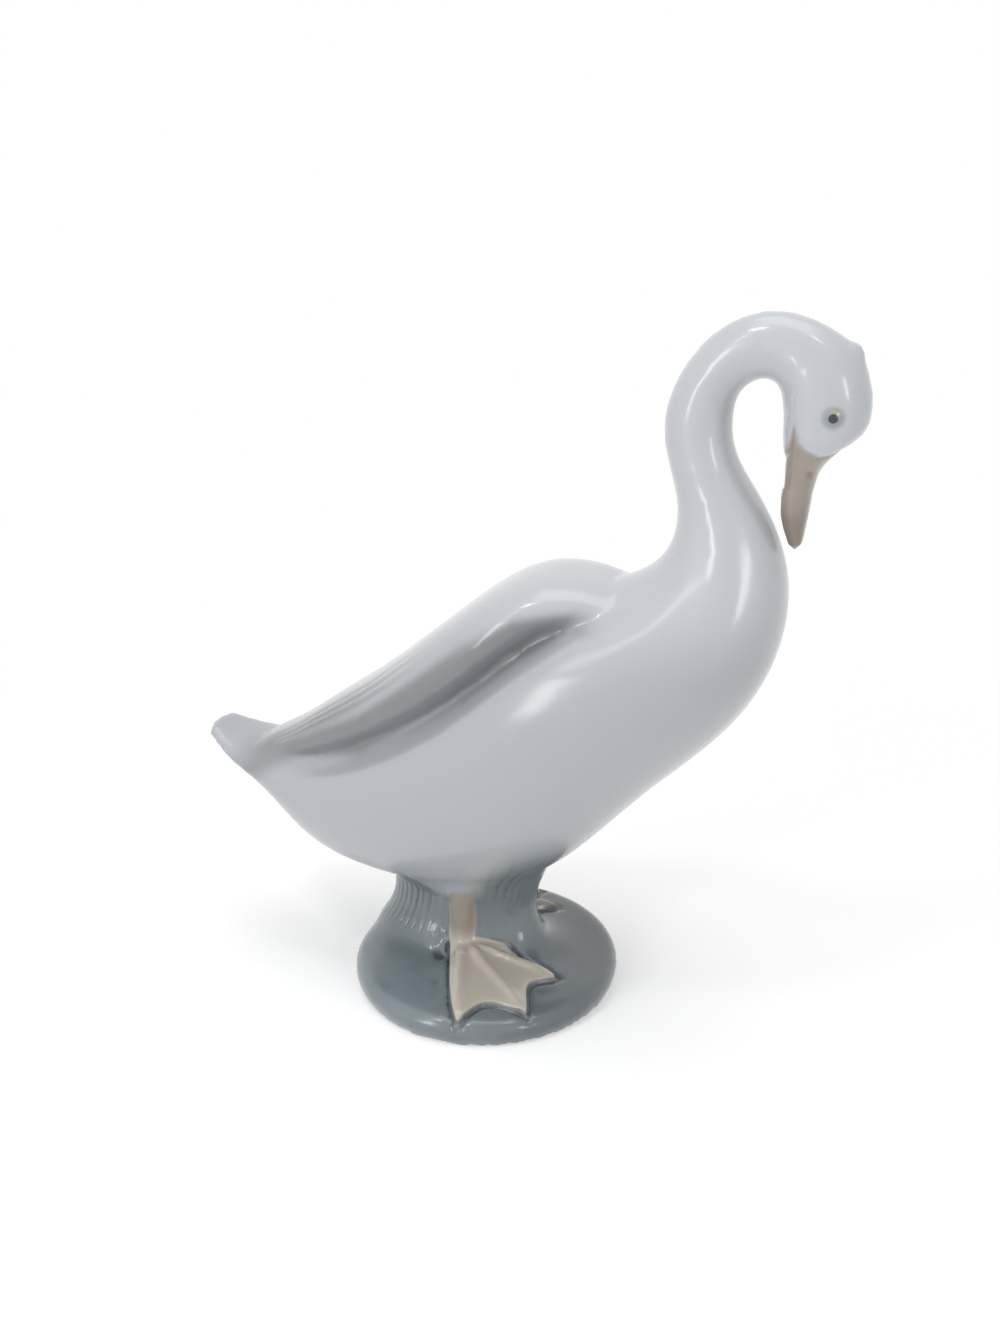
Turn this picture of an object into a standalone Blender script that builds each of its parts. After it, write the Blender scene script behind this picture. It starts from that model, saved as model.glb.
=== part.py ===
"""Goose figurine: one hollow slip-cast porcelain piece, a bird with a hooked neck on a round base.

The frame: +X is where the bird faces, +Y is its left, +Z is up, and the origin is the middle of the
base's flat underside. Lengths in the tables are millimetres, and heights in them are measured from
the top of the base, so that a thicker base lifts all that stands on it.
"""
import math

import bmesh
import bpy
import numpy as np

MM = 0.001

# Round base, a little broader than long
BASE_RADIUS = 35.3 * MM
BASE_BREADTH_RATIO = 1.035
BASE_HEIGHT = 7.0 * MM
BASE_EDGE_RADIUS = 3.5 * MM
BASE_FOOT_RADIUS = 1.2 * MM
BASE_FOOT_INSET = 0.4 * MM
BASE_MOUND = 0.8 * MM
BASE_MOUND_RINGS = (0.8, 0.55, 0.25)
BASE_SIDES = 56

# Where the bird stands on the base
BIRD_SIDE_SHIFT = 4.1 * MM
BIRD_FORE_SHIFT = 1.2 * MM

# The bird from tail to beak: back x, z, belly x, z, half width, how far the flank stands out, and
# the angle down from the back, in degrees, at which the flank's edge lies
BIRD_STATIONS = (
    (-80.2, 54.0, -80.6, 49.9, 7.5, 0.0, 60.0),
    (-75.3, 51.8, -75.8, 47.1, 10.4, 0.0, 60.0),
    (-62.0, 51.4, -62.4, 39.5, 15.5, 1.0, 61.0),
    (-47.0, 57.5, -48.2, 26.7, 21.2, 4.0, 61.0),
    (-33.0, 68.0, -30.0, 20.0, 25.5, 6.5, 62.0),
    (-6.0, 91.5, 11.0, 24.2, 28.0, 8.8, 58.0),
    (6.5, 100.6, 26.7, 37.1, 28.2, 9.0, 55.0),
    (20.0, 104.4, 43.3, 55.2, 27.0, 7.5, 47.0),
    (36.4, 109.6, 67.2, 84.0, 21.0, 3.0, 38.0),
    (43.6, 117.0, 71.8, 109.5, 14.3, 0.0, 50.0),
    (44.9, 128.7, 64.2, 129.2, 9.8, 0.0, 50.0),
    (41.7, 140.5, 57.3, 141.3, 7.8, 0.0, 50.0),
    (42.3, 152.2, 57.0, 151.0, 7.2, 0.0, 50.0),
    (48.8, 163.6, 59.2, 155.0, 6.7, 0.0, 50.0),
    (57.5, 170.0, 61.9, 156.7, 6.6, 0.0, 50.0),
    (66.5, 171.6, 64.4, 156.9, 6.8, 0.0, 50.0),
    (76.5, 168.6, 66.6, 155.6, 7.7, 0.0, 50.0),
    (83.4, 163.3, 67.6, 151.5, 8.5, 0.0, 50.0),
    (86.5, 155.8, 68.1, 147.0, 8.8, 0.0, 50.0),
    (85.6, 146.7, 68.6, 139.8, 7.9, 0.0, 50.0),
    (77.5, 137.9, 68.7, 133.2, 5.3, 0.0, 50.0),
    (75.3, 127.5, 68.9, 126.0, 4.4, 0.0, 50.0),
    (74.5, 121.6, 70.4, 121.2, 3.0, 0.0, 50.0),
)
TAIL_CAP = 2.6 * MM
BEAK_CAP = 2.2 * MM
CAP_STEPS = 3
BIRD_RINGS = 64
BIRD_SIDES = 36
FLANK_EDGE_SPREAD = math.radians(13.0)

# The folded wings, shoulders to tips: crown x, z, half width at the lip, the lip's depth below the crown
WING_STATIONS = (
    (42.0, 102.8, 11.0, 4.0),
    (34.0, 105.7, 13.6, 5.0),
    (27.0, 107.7, 15.5, 6.0),
    (20.5, 108.4, 17.3, 7.0),
    (13.5, 108.0, 19.0, 8.2),
    (4.5, 104.7, 20.6, 9.5),
    (-6.9, 96.4, 21.4, 10.5),
    (-19.1, 86.1, 21.2, 10.5),
    (-33.0, 74.8, 19.2, 9.0),
    (-47.4, 64.4, 16.0, 6.8),
    (-57.0, 57.6, 12.8, 5.0),
    (-66.0, 52.4, 9.8, 3.6),
)
WING_CAP = 2.0 * MM
WING_KEEL = 7.0 * MM
WING_RINGS = 26
WING_SIDES = 36
WING_TOP_SQUARENESS = 2.5
WING_KEEL_SQUARENESS = 1.8

# Tuft of grass that carries the bird: height, middle x, half length, half breadth
TUFT_STATIONS = (
    (-3.0, -9.6, 25.6, 15.0),
    (1.0, -9.8, 24.9, 13.2),
    (6.0, -9.4, 22.4, 10.6),
    (12.0, -9.0, 20.4, 9.5),
    (18.0, -8.7, 20.6, 9.8),
    (24.0, -8.0, 22.0, 12.0),
    (30.0, -7.0, 23.4, 14.0),
    (37.0, -6.0, 23.0, 15.0),
)
TUFT_RINGS = 14
TUFT_BLADES = 22
TUFT_BLADE_DEPTH = 0.5 * MM

# Legs and webbed feet
LEG_SIDE = 10.0 * MM
LEG_RADIUS = 2.9 * MM
LEG_TOP_RADIUS = 4.4 * MM
LEG_HEIGHT = 30.0 * MM
THIGH_LENGTH = 8.5 * MM
LEG_STEPS = ((-1.5, 1.15), (3.0, 1.1), (8.0, 1.0), (14.0, 1.0))
LEG_SIDES = 16
RIGHT_ANKLE_X = -5.8 * MM
LEFT_ANKLE_X = -13.0 * MM
RIGHT_TOES = ((-71.0, 30.6), (-39.5, 32.5), (-8.5, 27.5))
LEFT_TOES = ((24.5, 26.0), (47.0, 24.0), (70.0, 17.0))
TOE_HALF_WIDTH = 4.2 * MM
WEB_DIP = 0.2
WEB_ROOT = 2.4 * MM
FOOT_LEVELS = ((1.0, 0.5), (0.97, 1.0), (0.7, 1.2), (0.4, 1.7), (0.2, 3.1), (0.08, 4.0))
ANKLE_HEIGHT = 4.8 * MM
FOOT_SPREAD = 0.45
HIND_TOE_LENGTH = 4.5 * MM
HIND_TOE_RADIUS = 1.7 * MM
FOOT_SIDES = 40

# Tuft of feathers on the nape
CREST_PLACE = (81.0, 162.2)
CREST_RADIUS = 3.6 * MM
CREST_NARROWING = 0.8
BALL_SIDES = 14
BALL_STACKS = 8

# Hollow inside the casting, and the hole that lets the kiln's gases out
BODY_WALL = 4.0 * MM
TUFT_WALL = 3.5 * MM
FLOOR = 3.5 * MM
CAVITY_FIRST = 3
CAVITY_LAST = 10
CAVITY_RINGS = 24
CAVITY_SIDES = 16
CAVITY_CAP = 3.5 * MM
CAVITY_CLEARANCE = 0.5 * MM
VENT_RADIUS = 4.0 * MM
VENT_PLACE = (-8.0 * MM, 4.0 * MM)
VENT_OVERRUN = 1.0 * MM
VENT_SIDES = 20

PORCELAIN_COLOUR = (0.62, 0.64, 0.66, 1.0)
PORCELAIN_ROUGHNESS = 0.12


def clear_scene():
    """Remove every object that the new file holds."""
    for item in list(bpy.data.objects):
        bpy.data.objects.remove(item, do_unlink=True)


def natural_spline(knots, values, places):
    """Natural cubic spline through one row of values per knot, read at the places."""
    gaps = np.diff(knots)
    count = len(knots)
    system = np.eye(count)
    target = np.zeros((count, values.shape[1]))
    slopes = np.diff(values, axis=0) / gaps[:, None]
    inner = np.arange(1, count - 1)
    system[inner, inner - 1] = gaps[:-1]
    system[inner, inner] = 2.0 * (gaps[:-1] + gaps[1:])
    system[inner, inner + 1] = gaps[1:]
    target[inner] = 6.0 * np.diff(slopes, axis=0)
    bend = np.linalg.solve(system, target)
    left = np.clip(np.searchsorted(knots, places) - 1, 0, count - 2)
    gap = gaps[left][:, None]
    before = (knots[left + 1] - places)[:, None] / gap
    after = 1.0 - before
    curve = (before ** 3 - before) * bend[left] + (after ** 3 - after) * bend[left + 1]
    return before * values[left] + after * values[left + 1] + curve * gap ** 2 / 6.0


def read_stations(table, rings, middle):
    """Rows read evenly along a smooth curve through the table; middle turns rows into their path."""
    values = np.array(table, dtype=float)
    path = middle(values)
    steps = np.linalg.norm(np.diff(path, axis=0), axis=1)
    knots = np.concatenate(([0.0], np.cumsum(steps)))
    return natural_spline(knots, values, np.linspace(0.0, knots[-1], rings))


def cap_rings(ring, along, length):
    """Rings that close a tube with a round end, and its pole."""
    centre = ring.mean(axis=0)
    turns = [0.5 * math.pi * (k + 1) / (CAP_STEPS + 1) for k in range(CAP_STEPS)]
    rings = [centre + along * length * math.sin(t) + (ring - centre) * math.cos(t) for t in turns]
    return rings, centre + along * length


def closed_loft(name, rings, first_pole, last_pole):
    """One closed solid through rings of equally many points, with a pole at each end."""
    mesh = bpy.data.meshes.new(name)
    work = bmesh.new()
    loops = [[work.verts.new(point) for point in ring] for ring in rings]
    count = len(loops[0])
    for near, far in zip(loops, loops[1:]):
        for k in range(count):
            after = (k + 1) % count
            work.faces.new((near[k], near[after], far[after], far[k]))
    for loop, pole in ((loops[0], first_pole), (loops[-1], last_pole)):
        tip = work.verts.new(pole)
        for k in range(count):
            work.faces.new((loop[k], loop[(k + 1) % count], tip))
    bmesh.ops.recalc_face_normals(work, faces=work.faces)
    work.to_mesh(mesh)
    work.free()
    body = bpy.data.objects.new(name, mesh)
    bpy.context.collection.objects.link(body)
    return body


def unit(vector):
    """The vector at length one."""
    return vector / np.linalg.norm(vector)


def bird_middle(values):
    """Path of the bird's middle, halfway between back and belly."""
    return (values[:, 0:2] + values[:, 2:4]) / 2.0


def bird_rings(rows, sides, wall):
    """Sections of the bird, each an oval with the flank standing out below its edge, less a wall."""
    turn = np.linspace(0.0, 2.0 * math.pi, sides, endpoint=False)
    away = np.minimum(turn, 2.0 * math.pi - turn)
    rings = []
    for back_x, back_z, belly_x, belly_z, half_width, step, edge in rows:
        back = np.array((back_x, back_z)) * MM
        belly = np.array((belly_x, belly_z)) * MM
        centre = (back + belly) / 2.0
        arm = (back - belly) / 2.0
        arm = arm * (1.0 - wall / np.linalg.norm(arm))
        drop = np.clip((math.radians(edge) - away) / FLANK_EDGE_SPREAD + 0.5, 0.0, 1.0)
        inset = max(step, 0.0) * MM * drop ** 2 * (3.0 - 2.0 * drop)
        across = (half_width * MM - wall - inset) * np.sin(turn)
        x = centre[0] + arm[0] * np.cos(turn) + BIRD_FORE_SHIFT
        y = across + BIRD_SIDE_SHIFT
        z = centre[1] + arm[1] * np.cos(turn) + BASE_HEIGHT
        rings.append(np.stack((x, y, z), axis=1))
    return rings


def make_bird():
    """Body, neck, head and beak in one smooth loft from tail to beak."""
    rows = read_stations(BIRD_STATIONS, BIRD_RINGS, bird_middle)
    rings = bird_rings(rows, BIRD_SIDES, 0.0)
    tail_way = unit(rings[0].mean(axis=0) - rings[1].mean(axis=0))
    beak_way = unit(rings[-1].mean(axis=0) - rings[-2].mean(axis=0))
    tail, tail_pole = cap_rings(rings[0], tail_way, TAIL_CAP)
    beak, beak_pole = cap_rings(rings[-1], beak_way, BEAK_CAP)
    return closed_loft("bird", tail[::-1] + rings + beak, tail_pole, beak_pole)


def make_body_hollow():
    """The space inside the body and the lower neck, a wall away from the outside."""
    table = BIRD_STATIONS[CAVITY_FIRST:CAVITY_LAST + 1]
    rows = read_stations(table, CAVITY_RINGS, bird_middle)
    rings = bird_rings(rows, CAVITY_SIDES, BODY_WALL)
    first = unit(rings[0].mean(axis=0) - rings[1].mean(axis=0))
    last = unit(rings[-1].mean(axis=0) - rings[-2].mean(axis=0))
    rear, rear_pole = cap_rings(rings[0], first, CAVITY_CAP)
    fore, fore_pole = cap_rings(rings[-1], last, CAVITY_CAP)
    return closed_loft("body_hollow", rear[::-1] + rings + fore, rear_pole, fore_pole)


def make_wings():
    """Both folded wings as one mantle over the back, whose lips overhang the flanks."""
    rows = read_stations(WING_STATIONS, WING_RINGS, lambda values: values[:, 0:2])
    along = np.gradient(rows[:, 0:2], axis=0)
    along = along / np.linalg.norm(along, axis=1)[:, None]
    turn = np.linspace(0.0, 2.0 * math.pi, WING_SIDES, endpoint=False)
    power = 2.0 / np.where(np.sin(turn) > 0.0, WING_TOP_SQUARENESS, WING_KEEL_SQUARENESS)
    across = np.sign(np.cos(turn)) * np.abs(np.cos(turn)) ** power
    deep = np.sign(np.sin(turn)) * np.abs(np.sin(turn)) ** power
    rings = []
    for (crown_x, crown_z, half_width, lip_depth), (along_x, along_z) in zip(rows, along):
        below = lip_depth * MM * (1.0 - np.maximum(deep, 0.0)) + WING_KEEL * np.maximum(-deep, 0.0)
        x = crown_x * MM - along_z * below + BIRD_FORE_SHIFT
        z = crown_z * MM + along_x * below + BASE_HEIGHT
        rings.append(np.stack((x, half_width * MM * across + BIRD_SIDE_SHIFT, z), axis=1))
    front = unit(rings[0].mean(axis=0) - rings[1].mean(axis=0))
    rear = unit(rings[-1].mean(axis=0) - rings[-2].mean(axis=0))
    shoulder, shoulder_pole = cap_rings(rings[0], front, WING_CAP)
    tip, tip_pole = cap_rings(rings[-1], rear, WING_CAP)
    return closed_loft("folded_wings", shoulder[::-1] + rings + tip, shoulder_pole, tip_pole)


def oval_rings(rows, sides, wall, blades, blade_depth):
    """Level ovals up a stem, with blades of grass as waves round it, less a wall."""
    turn = np.linspace(0.0, 2.0 * math.pi, sides, endpoint=False)
    wave = blade_depth * np.cos(blades * turn)
    rings = []
    for height, middle_x, half_length, half_breadth in rows:
        x = middle_x * MM + (half_length * MM - wall + wave) * np.cos(turn) + BIRD_FORE_SHIFT
        y = (half_breadth * MM - wall + wave) * np.sin(turn) + BIRD_SIDE_SHIFT
        z = np.full(sides, height * MM + BASE_HEIGHT)
        rings.append(np.stack((x, y, z), axis=1))
    return rings


def make_tuft():
    """The tuft of grass between the base and the belly."""
    rows = read_stations(TUFT_STATIONS, TUFT_RINGS, lambda values: values[:, 0:2])
    rings = oval_rings(rows, 2 * TUFT_BLADES, 0.0, TUFT_BLADES, TUFT_BLADE_DEPTH)
    return closed_loft("tuft", rings, rings[0].mean(axis=0), rings[-1].mean(axis=0))


def turned_solid(name, profile, sides, centre, breadth_ratio=1.0):
    """A solid of revolution through radius and height pairs, with poles on its axis."""
    turn = np.linspace(0.0, 2.0 * math.pi, sides, endpoint=False)
    ring = np.stack((np.cos(turn), breadth_ratio * np.sin(turn)), axis=1)
    rings = []
    for radius, height in profile[1:-1]:
        flat = ring * radius + np.array(centre)
        rings.append(np.column_stack((flat, np.full(sides, height))))
    first = np.array((centre[0], centre[1], profile[0][1]))
    last = np.array((centre[0], centre[1], profile[-1][1]))
    return closed_loft(name, rings, first, last)


def arc(centre_r, centre_z, radius, start, end, steps):
    """Radius and height pairs on a round, by angle in degrees."""
    angles = [math.radians(start + (end - start) * k / steps) for k in range(steps + 1)]
    return [(centre_r + radius * math.cos(a), centre_z + radius * math.sin(a)) for a in angles]


def base_distance(flat):
    """How far points lie from the base's middle, measured as along its length."""
    return np.hypot(flat[:, 0], flat[:, 1] / BASE_BREADTH_RATIO)


def base_top(radius):
    """Height of the base's gently mounded top at a distance from its middle."""
    inner = BASE_RADIUS - BASE_EDGE_RADIUS
    share = np.clip(radius / inner, 0.0, 1.0)
    return BASE_HEIGHT + BASE_MOUND * (1.0 - share ** 2)


def make_base():
    """The round base with its rounded rim and flat underside."""
    inner = BASE_RADIUS - BASE_EDGE_RADIUS
    foot = BASE_RADIUS - BASE_FOOT_INSET - BASE_FOOT_RADIUS
    profile = [(0.0, 0.0)]
    profile += arc(foot, BASE_FOOT_RADIUS, BASE_FOOT_RADIUS, -90.0, 0.0, 2)
    profile += arc(inner, BASE_HEIGHT - BASE_EDGE_RADIUS, BASE_EDGE_RADIUS, 0.0, 90.0, 4)
    profile += [(inner * share, float(base_top(inner * share))) for share in BASE_MOUND_RINGS]
    profile += [(0.0, float(base_top(0.0)))]
    return turned_solid("base", profile, BASE_SIDES, (0.0, 0.0), BASE_BREADTH_RATIO)


def make_leg(name, side, ankle_x):
    """A shank from the foot up into the belly, wider towards the thigh."""
    profile = [(0.0, BASE_HEIGHT + LEG_STEPS[0][0] * MM)]
    profile += [(LEG_RADIUS * share, BASE_HEIGHT + height * MM) for height, share in LEG_STEPS]
    top = BASE_HEIGHT + LEG_HEIGHT
    profile += [(LEG_TOP_RADIUS, top - THIGH_LENGTH), (LEG_TOP_RADIUS, top), (0.0, top)]
    centre = (ankle_x + BIRD_FORE_SHIFT, BIRD_SIDE_SHIFT + side * LEG_SIDE)
    return turned_solid(name, profile, LEG_SIDES, centre)


def foot_reach(angle, toes):
    """How far the webbed foot reaches from the ankle at an angle: toes joined by dipping webs."""
    angles = np.radians([toe[0] for toe in toes])
    lengths = np.array([toe[1] for toe in toes]) * MM
    order = np.argsort(angles)
    angles = angles[order]
    lengths = lengths[order]
    between = np.interp(angle, angles, lengths)
    place = np.interp(angle, angles, np.arange(len(angles)))
    web = between * (1.0 - WEB_DIP * np.abs(np.sin(math.pi * place)))
    past = np.maximum(angle - angles[-1], angles[0] - angle)
    past = np.clip(past, 0.0, 0.5 * math.pi)
    side = 1.0 / np.sqrt(1.0 / between ** 2 + (np.sin(past) / TOE_HALF_WIDTH) ** 2)
    return np.where(past > 0.0, side, web)


def make_foot(name, side, ankle_x, toes):
    """One webbed foot lying on the base: its outline drawn in towards the ankle as it rises."""
    middle = math.radians(toes[1][0])
    spread = np.linspace(-1.0, 1.0, FOOT_SIDES, endpoint=False)
    angle = middle + math.pi * spread * (FOOT_SPREAD + (1.0 - FOOT_SPREAD) * spread ** 2)
    reach = foot_reach(angle, toes)
    centre = np.array((ankle_x + BIRD_FORE_SHIFT, BIRD_SIDE_SHIFT + side * LEG_SIDE))
    way = np.stack((np.cos(angle), np.sin(angle)), axis=1)
    rings = []
    for share, rise in ((1.0, -WEB_ROOT / MM),) + FOOT_LEVELS:
        flat = centre + way * (reach * share)[:, None]
        radius = base_distance(flat)
        past_edge = np.clip(radius - (BASE_RADIUS - BASE_EDGE_RADIUS), 0.0, None)
        slump = past_edge ** 2 / BASE_EDGE_RADIUS
        rings.append(np.column_stack((flat, base_top(radius) - slump + rise * MM)))
    low = np.append(centre, BASE_HEIGHT - WEB_ROOT)
    high = np.append(centre, BASE_HEIGHT + ANKLE_HEIGHT)
    return closed_loft(name, rings, low, high)


def ellipsoid(name, centre, radii, way):
    """An ellipsoid whose first radius lies along the level direction given as an angle."""
    rings = []
    across = np.array((-math.sin(way), math.cos(way), 0.0))
    along = np.array((math.cos(way), math.sin(way), 0.0))
    turn = np.linspace(0.0, 2.0 * math.pi, BALL_SIDES, endpoint=False)
    for k in range(1, BALL_STACKS):
        tilt = math.pi * k / BALL_STACKS
        ring = np.outer(np.cos(turn), across) * radii[1] + np.outer(np.sin(turn), (0.0, 0.0, 1.0)) * radii[2]
        rings.append(centre - along * radii[0] * math.cos(tilt) + ring * math.sin(tilt))
    return closed_loft(name, rings, centre - along * radii[0], centre + along * radii[0])


def make_hind_toe(name, side, ankle_x, toes):
    """The small toe behind the ankle, opposite the middle toe."""
    way = math.radians(toes[1][0]) + math.pi
    ankle = np.array((ankle_x + BIRD_FORE_SHIFT, BIRD_SIDE_SHIFT + side * LEG_SIDE, 0.0))
    reach = LEG_RADIUS + HIND_TOE_LENGTH / 2.0
    centre = ankle + reach * np.array((math.cos(way), math.sin(way), 0.0))
    centre[2] = BASE_HEIGHT + HIND_TOE_RADIUS
    return ellipsoid(name, centre, (HIND_TOE_LENGTH / 2.0, HIND_TOE_RADIUS, HIND_TOE_RADIUS), way)


def make_crest():
    """The short tuft of feathers on the nape."""
    x, z = CREST_PLACE
    centre = np.array((x * MM + BIRD_FORE_SHIFT, BIRD_SIDE_SHIFT, z * MM + BASE_HEIGHT))
    return ellipsoid("crest", centre, (CREST_RADIUS, CREST_NARROWING * CREST_RADIUS, CREST_RADIUS), 0.0)


def make_tuft_hollow():
    """The space inside the tuft and the base, open to the body's hollow above."""
    rows = read_stations(TUFT_STATIONS, TUFT_RINGS, lambda values: values[:, 0:2])
    rings = oval_rings(rows, CAVITY_SIDES, TUFT_WALL, 0, 0.0)
    above = [ring for ring in rings if ring[0, 2] > FLOOR + CAVITY_CLEARANCE]
    low = above[0].copy()
    low[:, 2] = FLOOR
    rings = [low] + above
    return closed_loft("tuft_hollow", rings, rings[0].mean(axis=0), rings[-1].mean(axis=0))


def make_vent():
    """The round hole through the underside."""
    low = -VENT_OVERRUN
    high = FLOOR + VENT_OVERRUN
    profile = ((0.0, low), (VENT_RADIUS, low), (VENT_RADIUS, high), (0.0, high))
    return turned_solid("vent", profile, VENT_SIDES, VENT_PLACE)


def combine(target, tool, operation):
    """Add a Boolean of the tool to the target, and make the tool a hidden guide."""
    cut = target.modifiers.new(tool.name, "BOOLEAN")
    cut.operation = operation
    cut.solver = "EXACT"
    cut.use_self = True
    cut.object = tool
    tool.hide_render = True
    tool.display_type = "WIRE"


def porcelain():
    """Pale glazed porcelain."""
    material = bpy.data.materials.new("glazed_porcelain")
    material.use_nodes = True
    shader = material.node_tree.nodes["Principled BSDF"]
    shader.inputs["Base Color"].default_value = PORCELAIN_COLOUR
    shader.inputs["Roughness"].default_value = PORCELAIN_ROUGHNESS
    shader.inputs["Metallic"].default_value = 0.0
    return material


def build():
    """Build the whole figurine as one closed solid."""
    clear_scene()
    figure = make_bird()
    figure.name = "goose_figurine"
    figure.data.name = "goose_figurine"
    solids = [
        make_wings(),
        make_crest(),
        make_base(),
        make_tuft(),
        make_leg("right_leg", -1.0, RIGHT_ANKLE_X),
        make_leg("left_leg", 1.0, LEFT_ANKLE_X),
        make_foot("right_foot", -1.0, RIGHT_ANKLE_X, RIGHT_TOES),
        make_foot("left_foot", 1.0, LEFT_ANKLE_X, LEFT_TOES),
        make_hind_toe("right_hind_toe", -1.0, RIGHT_ANKLE_X, RIGHT_TOES),
        make_hind_toe("left_hind_toe", 1.0, LEFT_ANKLE_X, LEFT_TOES),
    ]
    for solid in solids:
        combine(figure, solid, "UNION")
    for hollow in (make_body_hollow(), make_tuft_hollow(), make_vent()):
        combine(figure, hollow, "DIFFERENCE")
    figure.data.materials.append(porcelain())
    figure.data.shade_smooth()


build()
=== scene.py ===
"""The looks of the goose figurine: one glazed porcelain casting on a pale floor, seen as in its photo.

The casting is a handful of smooth lofts (bird, wings, tuft, legs, feet, base) that are fused into one
skin, softened as glaze softens it, carved with its feathers, grass and toes, and painted under glaze,
with shade painted into the colour under the wings, in hollows and creases and low down.
"""
import logging
import math
from dataclasses import dataclass
from enum import Enum

import bmesh
import bpy
import numpy as np
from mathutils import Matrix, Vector


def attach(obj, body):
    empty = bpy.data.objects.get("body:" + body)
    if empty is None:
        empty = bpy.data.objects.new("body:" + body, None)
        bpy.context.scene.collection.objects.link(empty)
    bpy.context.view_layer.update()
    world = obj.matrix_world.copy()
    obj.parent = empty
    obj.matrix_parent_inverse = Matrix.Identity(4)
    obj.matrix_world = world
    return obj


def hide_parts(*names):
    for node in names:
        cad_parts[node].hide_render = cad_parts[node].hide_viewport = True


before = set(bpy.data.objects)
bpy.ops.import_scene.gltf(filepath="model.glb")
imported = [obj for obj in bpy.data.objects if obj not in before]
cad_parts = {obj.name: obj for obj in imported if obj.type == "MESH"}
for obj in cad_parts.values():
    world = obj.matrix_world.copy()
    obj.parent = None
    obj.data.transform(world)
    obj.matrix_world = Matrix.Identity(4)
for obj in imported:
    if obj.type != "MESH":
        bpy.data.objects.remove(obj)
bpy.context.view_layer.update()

MM = 0.001
NODE = "goose_figurine"
LOG = logging.getLogger("goose")


class Side(Enum):
    """The bird's two sides, as the sign of the sideways direction."""

    RIGHT = -1.0
    LEFT = 1.0


# Numbers and curves


@dataclass(frozen=True)
class Zone:
    """A stretch of the bird in side view, in millimetres, open where no bound is given."""

    x_from: float = -math.inf
    x_to: float = math.inf
    z_from: float = -math.inf
    z_to: float = math.inf

    def holds(self, points: np.ndarray) -> np.ndarray:
        """Which points, in metres, lie within all four bounds."""
        x, _, z = points.T / MM
        return (x > self.x_from) & (x < self.x_to) & (z > self.z_from) & (z < self.z_to)


def linear(hex_colour: str) -> tuple[float, float, float, float]:
    """Turn an sRGB hex colour into linear light.

    Args:
        hex_colour: Six hex digits, with or without a leading mark.

    Returns:
        Red, green, blue and an alpha of one.
    """
    digits = hex_colour.lstrip("#")
    values = [int(digits[k:k + 2], 16) / 255.0 for k in (0, 2, 4)]
    light = [v / 12.92 if v <= 0.04045 else ((v + 0.055) / 1.055) ** 2.4 for v in values]
    return (light[0], light[1], light[2], 1.0)


def smooth_step(low: float, high: float, value: np.ndarray) -> np.ndarray:
    """Rise smoothly from 0 at low to 1 at high: 3t^2 - 2t^3 of the share t between them.

    Args:
        low: Where the step starts.
        high: Where the step ends; it may lie below low for a falling step.
        value: The places to read.

    Returns:
        The step at each place.
    """
    share = np.clip((value - low) / (high - low), 0.0, 1.0)
    return share * share * (3.0 - 2.0 * share)


def bell(value: np.ndarray, width: float) -> np.ndarray:
    """Gaussian bump of the given width: exp(-(value / width)^2)."""
    return np.exp(-(value / width) ** 2)


def natural_spline(knots: np.ndarray, values: np.ndarray, places: np.ndarray) -> np.ndarray:
    """Read a natural cubic spline through one row of values per knot.

    Args:
        knots: Rising places of the rows.
        values: One row of values for each knot.
        places: Where to read the curve.

    Returns:
        One row for each place.
    """
    gaps = np.diff(knots)
    count = len(knots)
    system = np.eye(count)
    target = np.zeros((count, values.shape[1]))
    slopes = np.diff(values, axis=0) / gaps[:, None]
    inner = np.arange(1, count - 1)
    system[inner, inner - 1] = gaps[:-1]
    system[inner, inner] = 2.0 * (gaps[:-1] + gaps[1:])
    system[inner, inner + 1] = gaps[1:]
    target[inner] = 6.0 * np.diff(slopes, axis=0)
    bend = np.linalg.solve(system, target)
    left = np.clip(np.searchsorted(knots, places) - 1, 0, count - 2)
    gap = gaps[left][:, None]
    before = (knots[left + 1] - places)[:, None] / gap
    after = 1.0 - before
    curve = (before ** 3 - before) * bend[left] + (after ** 3 - after) * bend[left + 1]
    return before * values[left] + after * values[left + 1] + curve * gap ** 2 / 6.0


def read_table(table: np.ndarray, path: np.ndarray, rings: int) -> np.ndarray:
    """Read a station table evenly along its path.

    Args:
        table: One row of sizes for each station.
        path: One point for each station, which sets how far apart the stations are.
        rings: How many rows to read.

    Returns:
        The rows, smooth from station to station.
    """
    steps = np.linalg.norm(np.diff(path, axis=0), axis=1)
    knots = np.concatenate(([0.0], np.cumsum(steps)))
    return natural_spline(knots, table, np.linspace(0.0, knots[-1], rings))


def columns(rows: np.ndarray) -> np.ndarray:
    """The columns of a table, each standing, so that it spreads over a row of angles."""
    return rows.T[:, :, None]


def turns(count: int) -> np.ndarray:
    """Angles once round, evenly spaced, as a row."""
    return np.linspace(0.0, 2.0 * math.pi, count, endpoint=False)[None, :]


def round_ends(grid: np.ndarray, first_cap: float, last_cap: float, steps: int = 6) -> np.ndarray:
    """Close a tube with a half ellipsoid at each end.

    Ring k of a cap is centre + way * cap * sin(t) + (ring - centre) * cos(t), with t up to a quarter turn.

    Args:
        grid: Rings of points, one row of the grid each.
        first_cap: Length of the cap before the first ring.
        last_cap: Length of the cap after the last ring.
        steps: Rings in each cap.

    Returns:
        The grid with its caps, whose last rings are points.
    """
    turn = (0.5 * math.pi * np.arange(1, steps + 1) / steps)[:, None, None]
    caps = []
    for ring, inner, cap in ((grid[0], grid[1], first_cap), (grid[-1], grid[-2], last_cap)):
        centre = ring.mean(axis=0)
        way = centre - inner.mean(axis=0)
        way = way / np.linalg.norm(way)
        caps.append(centre + way * cap * np.sin(turn) + (ring - centre) * np.cos(turn))
    return np.concatenate((caps[0][::-1], grid, caps[1]))


# Skins


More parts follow.
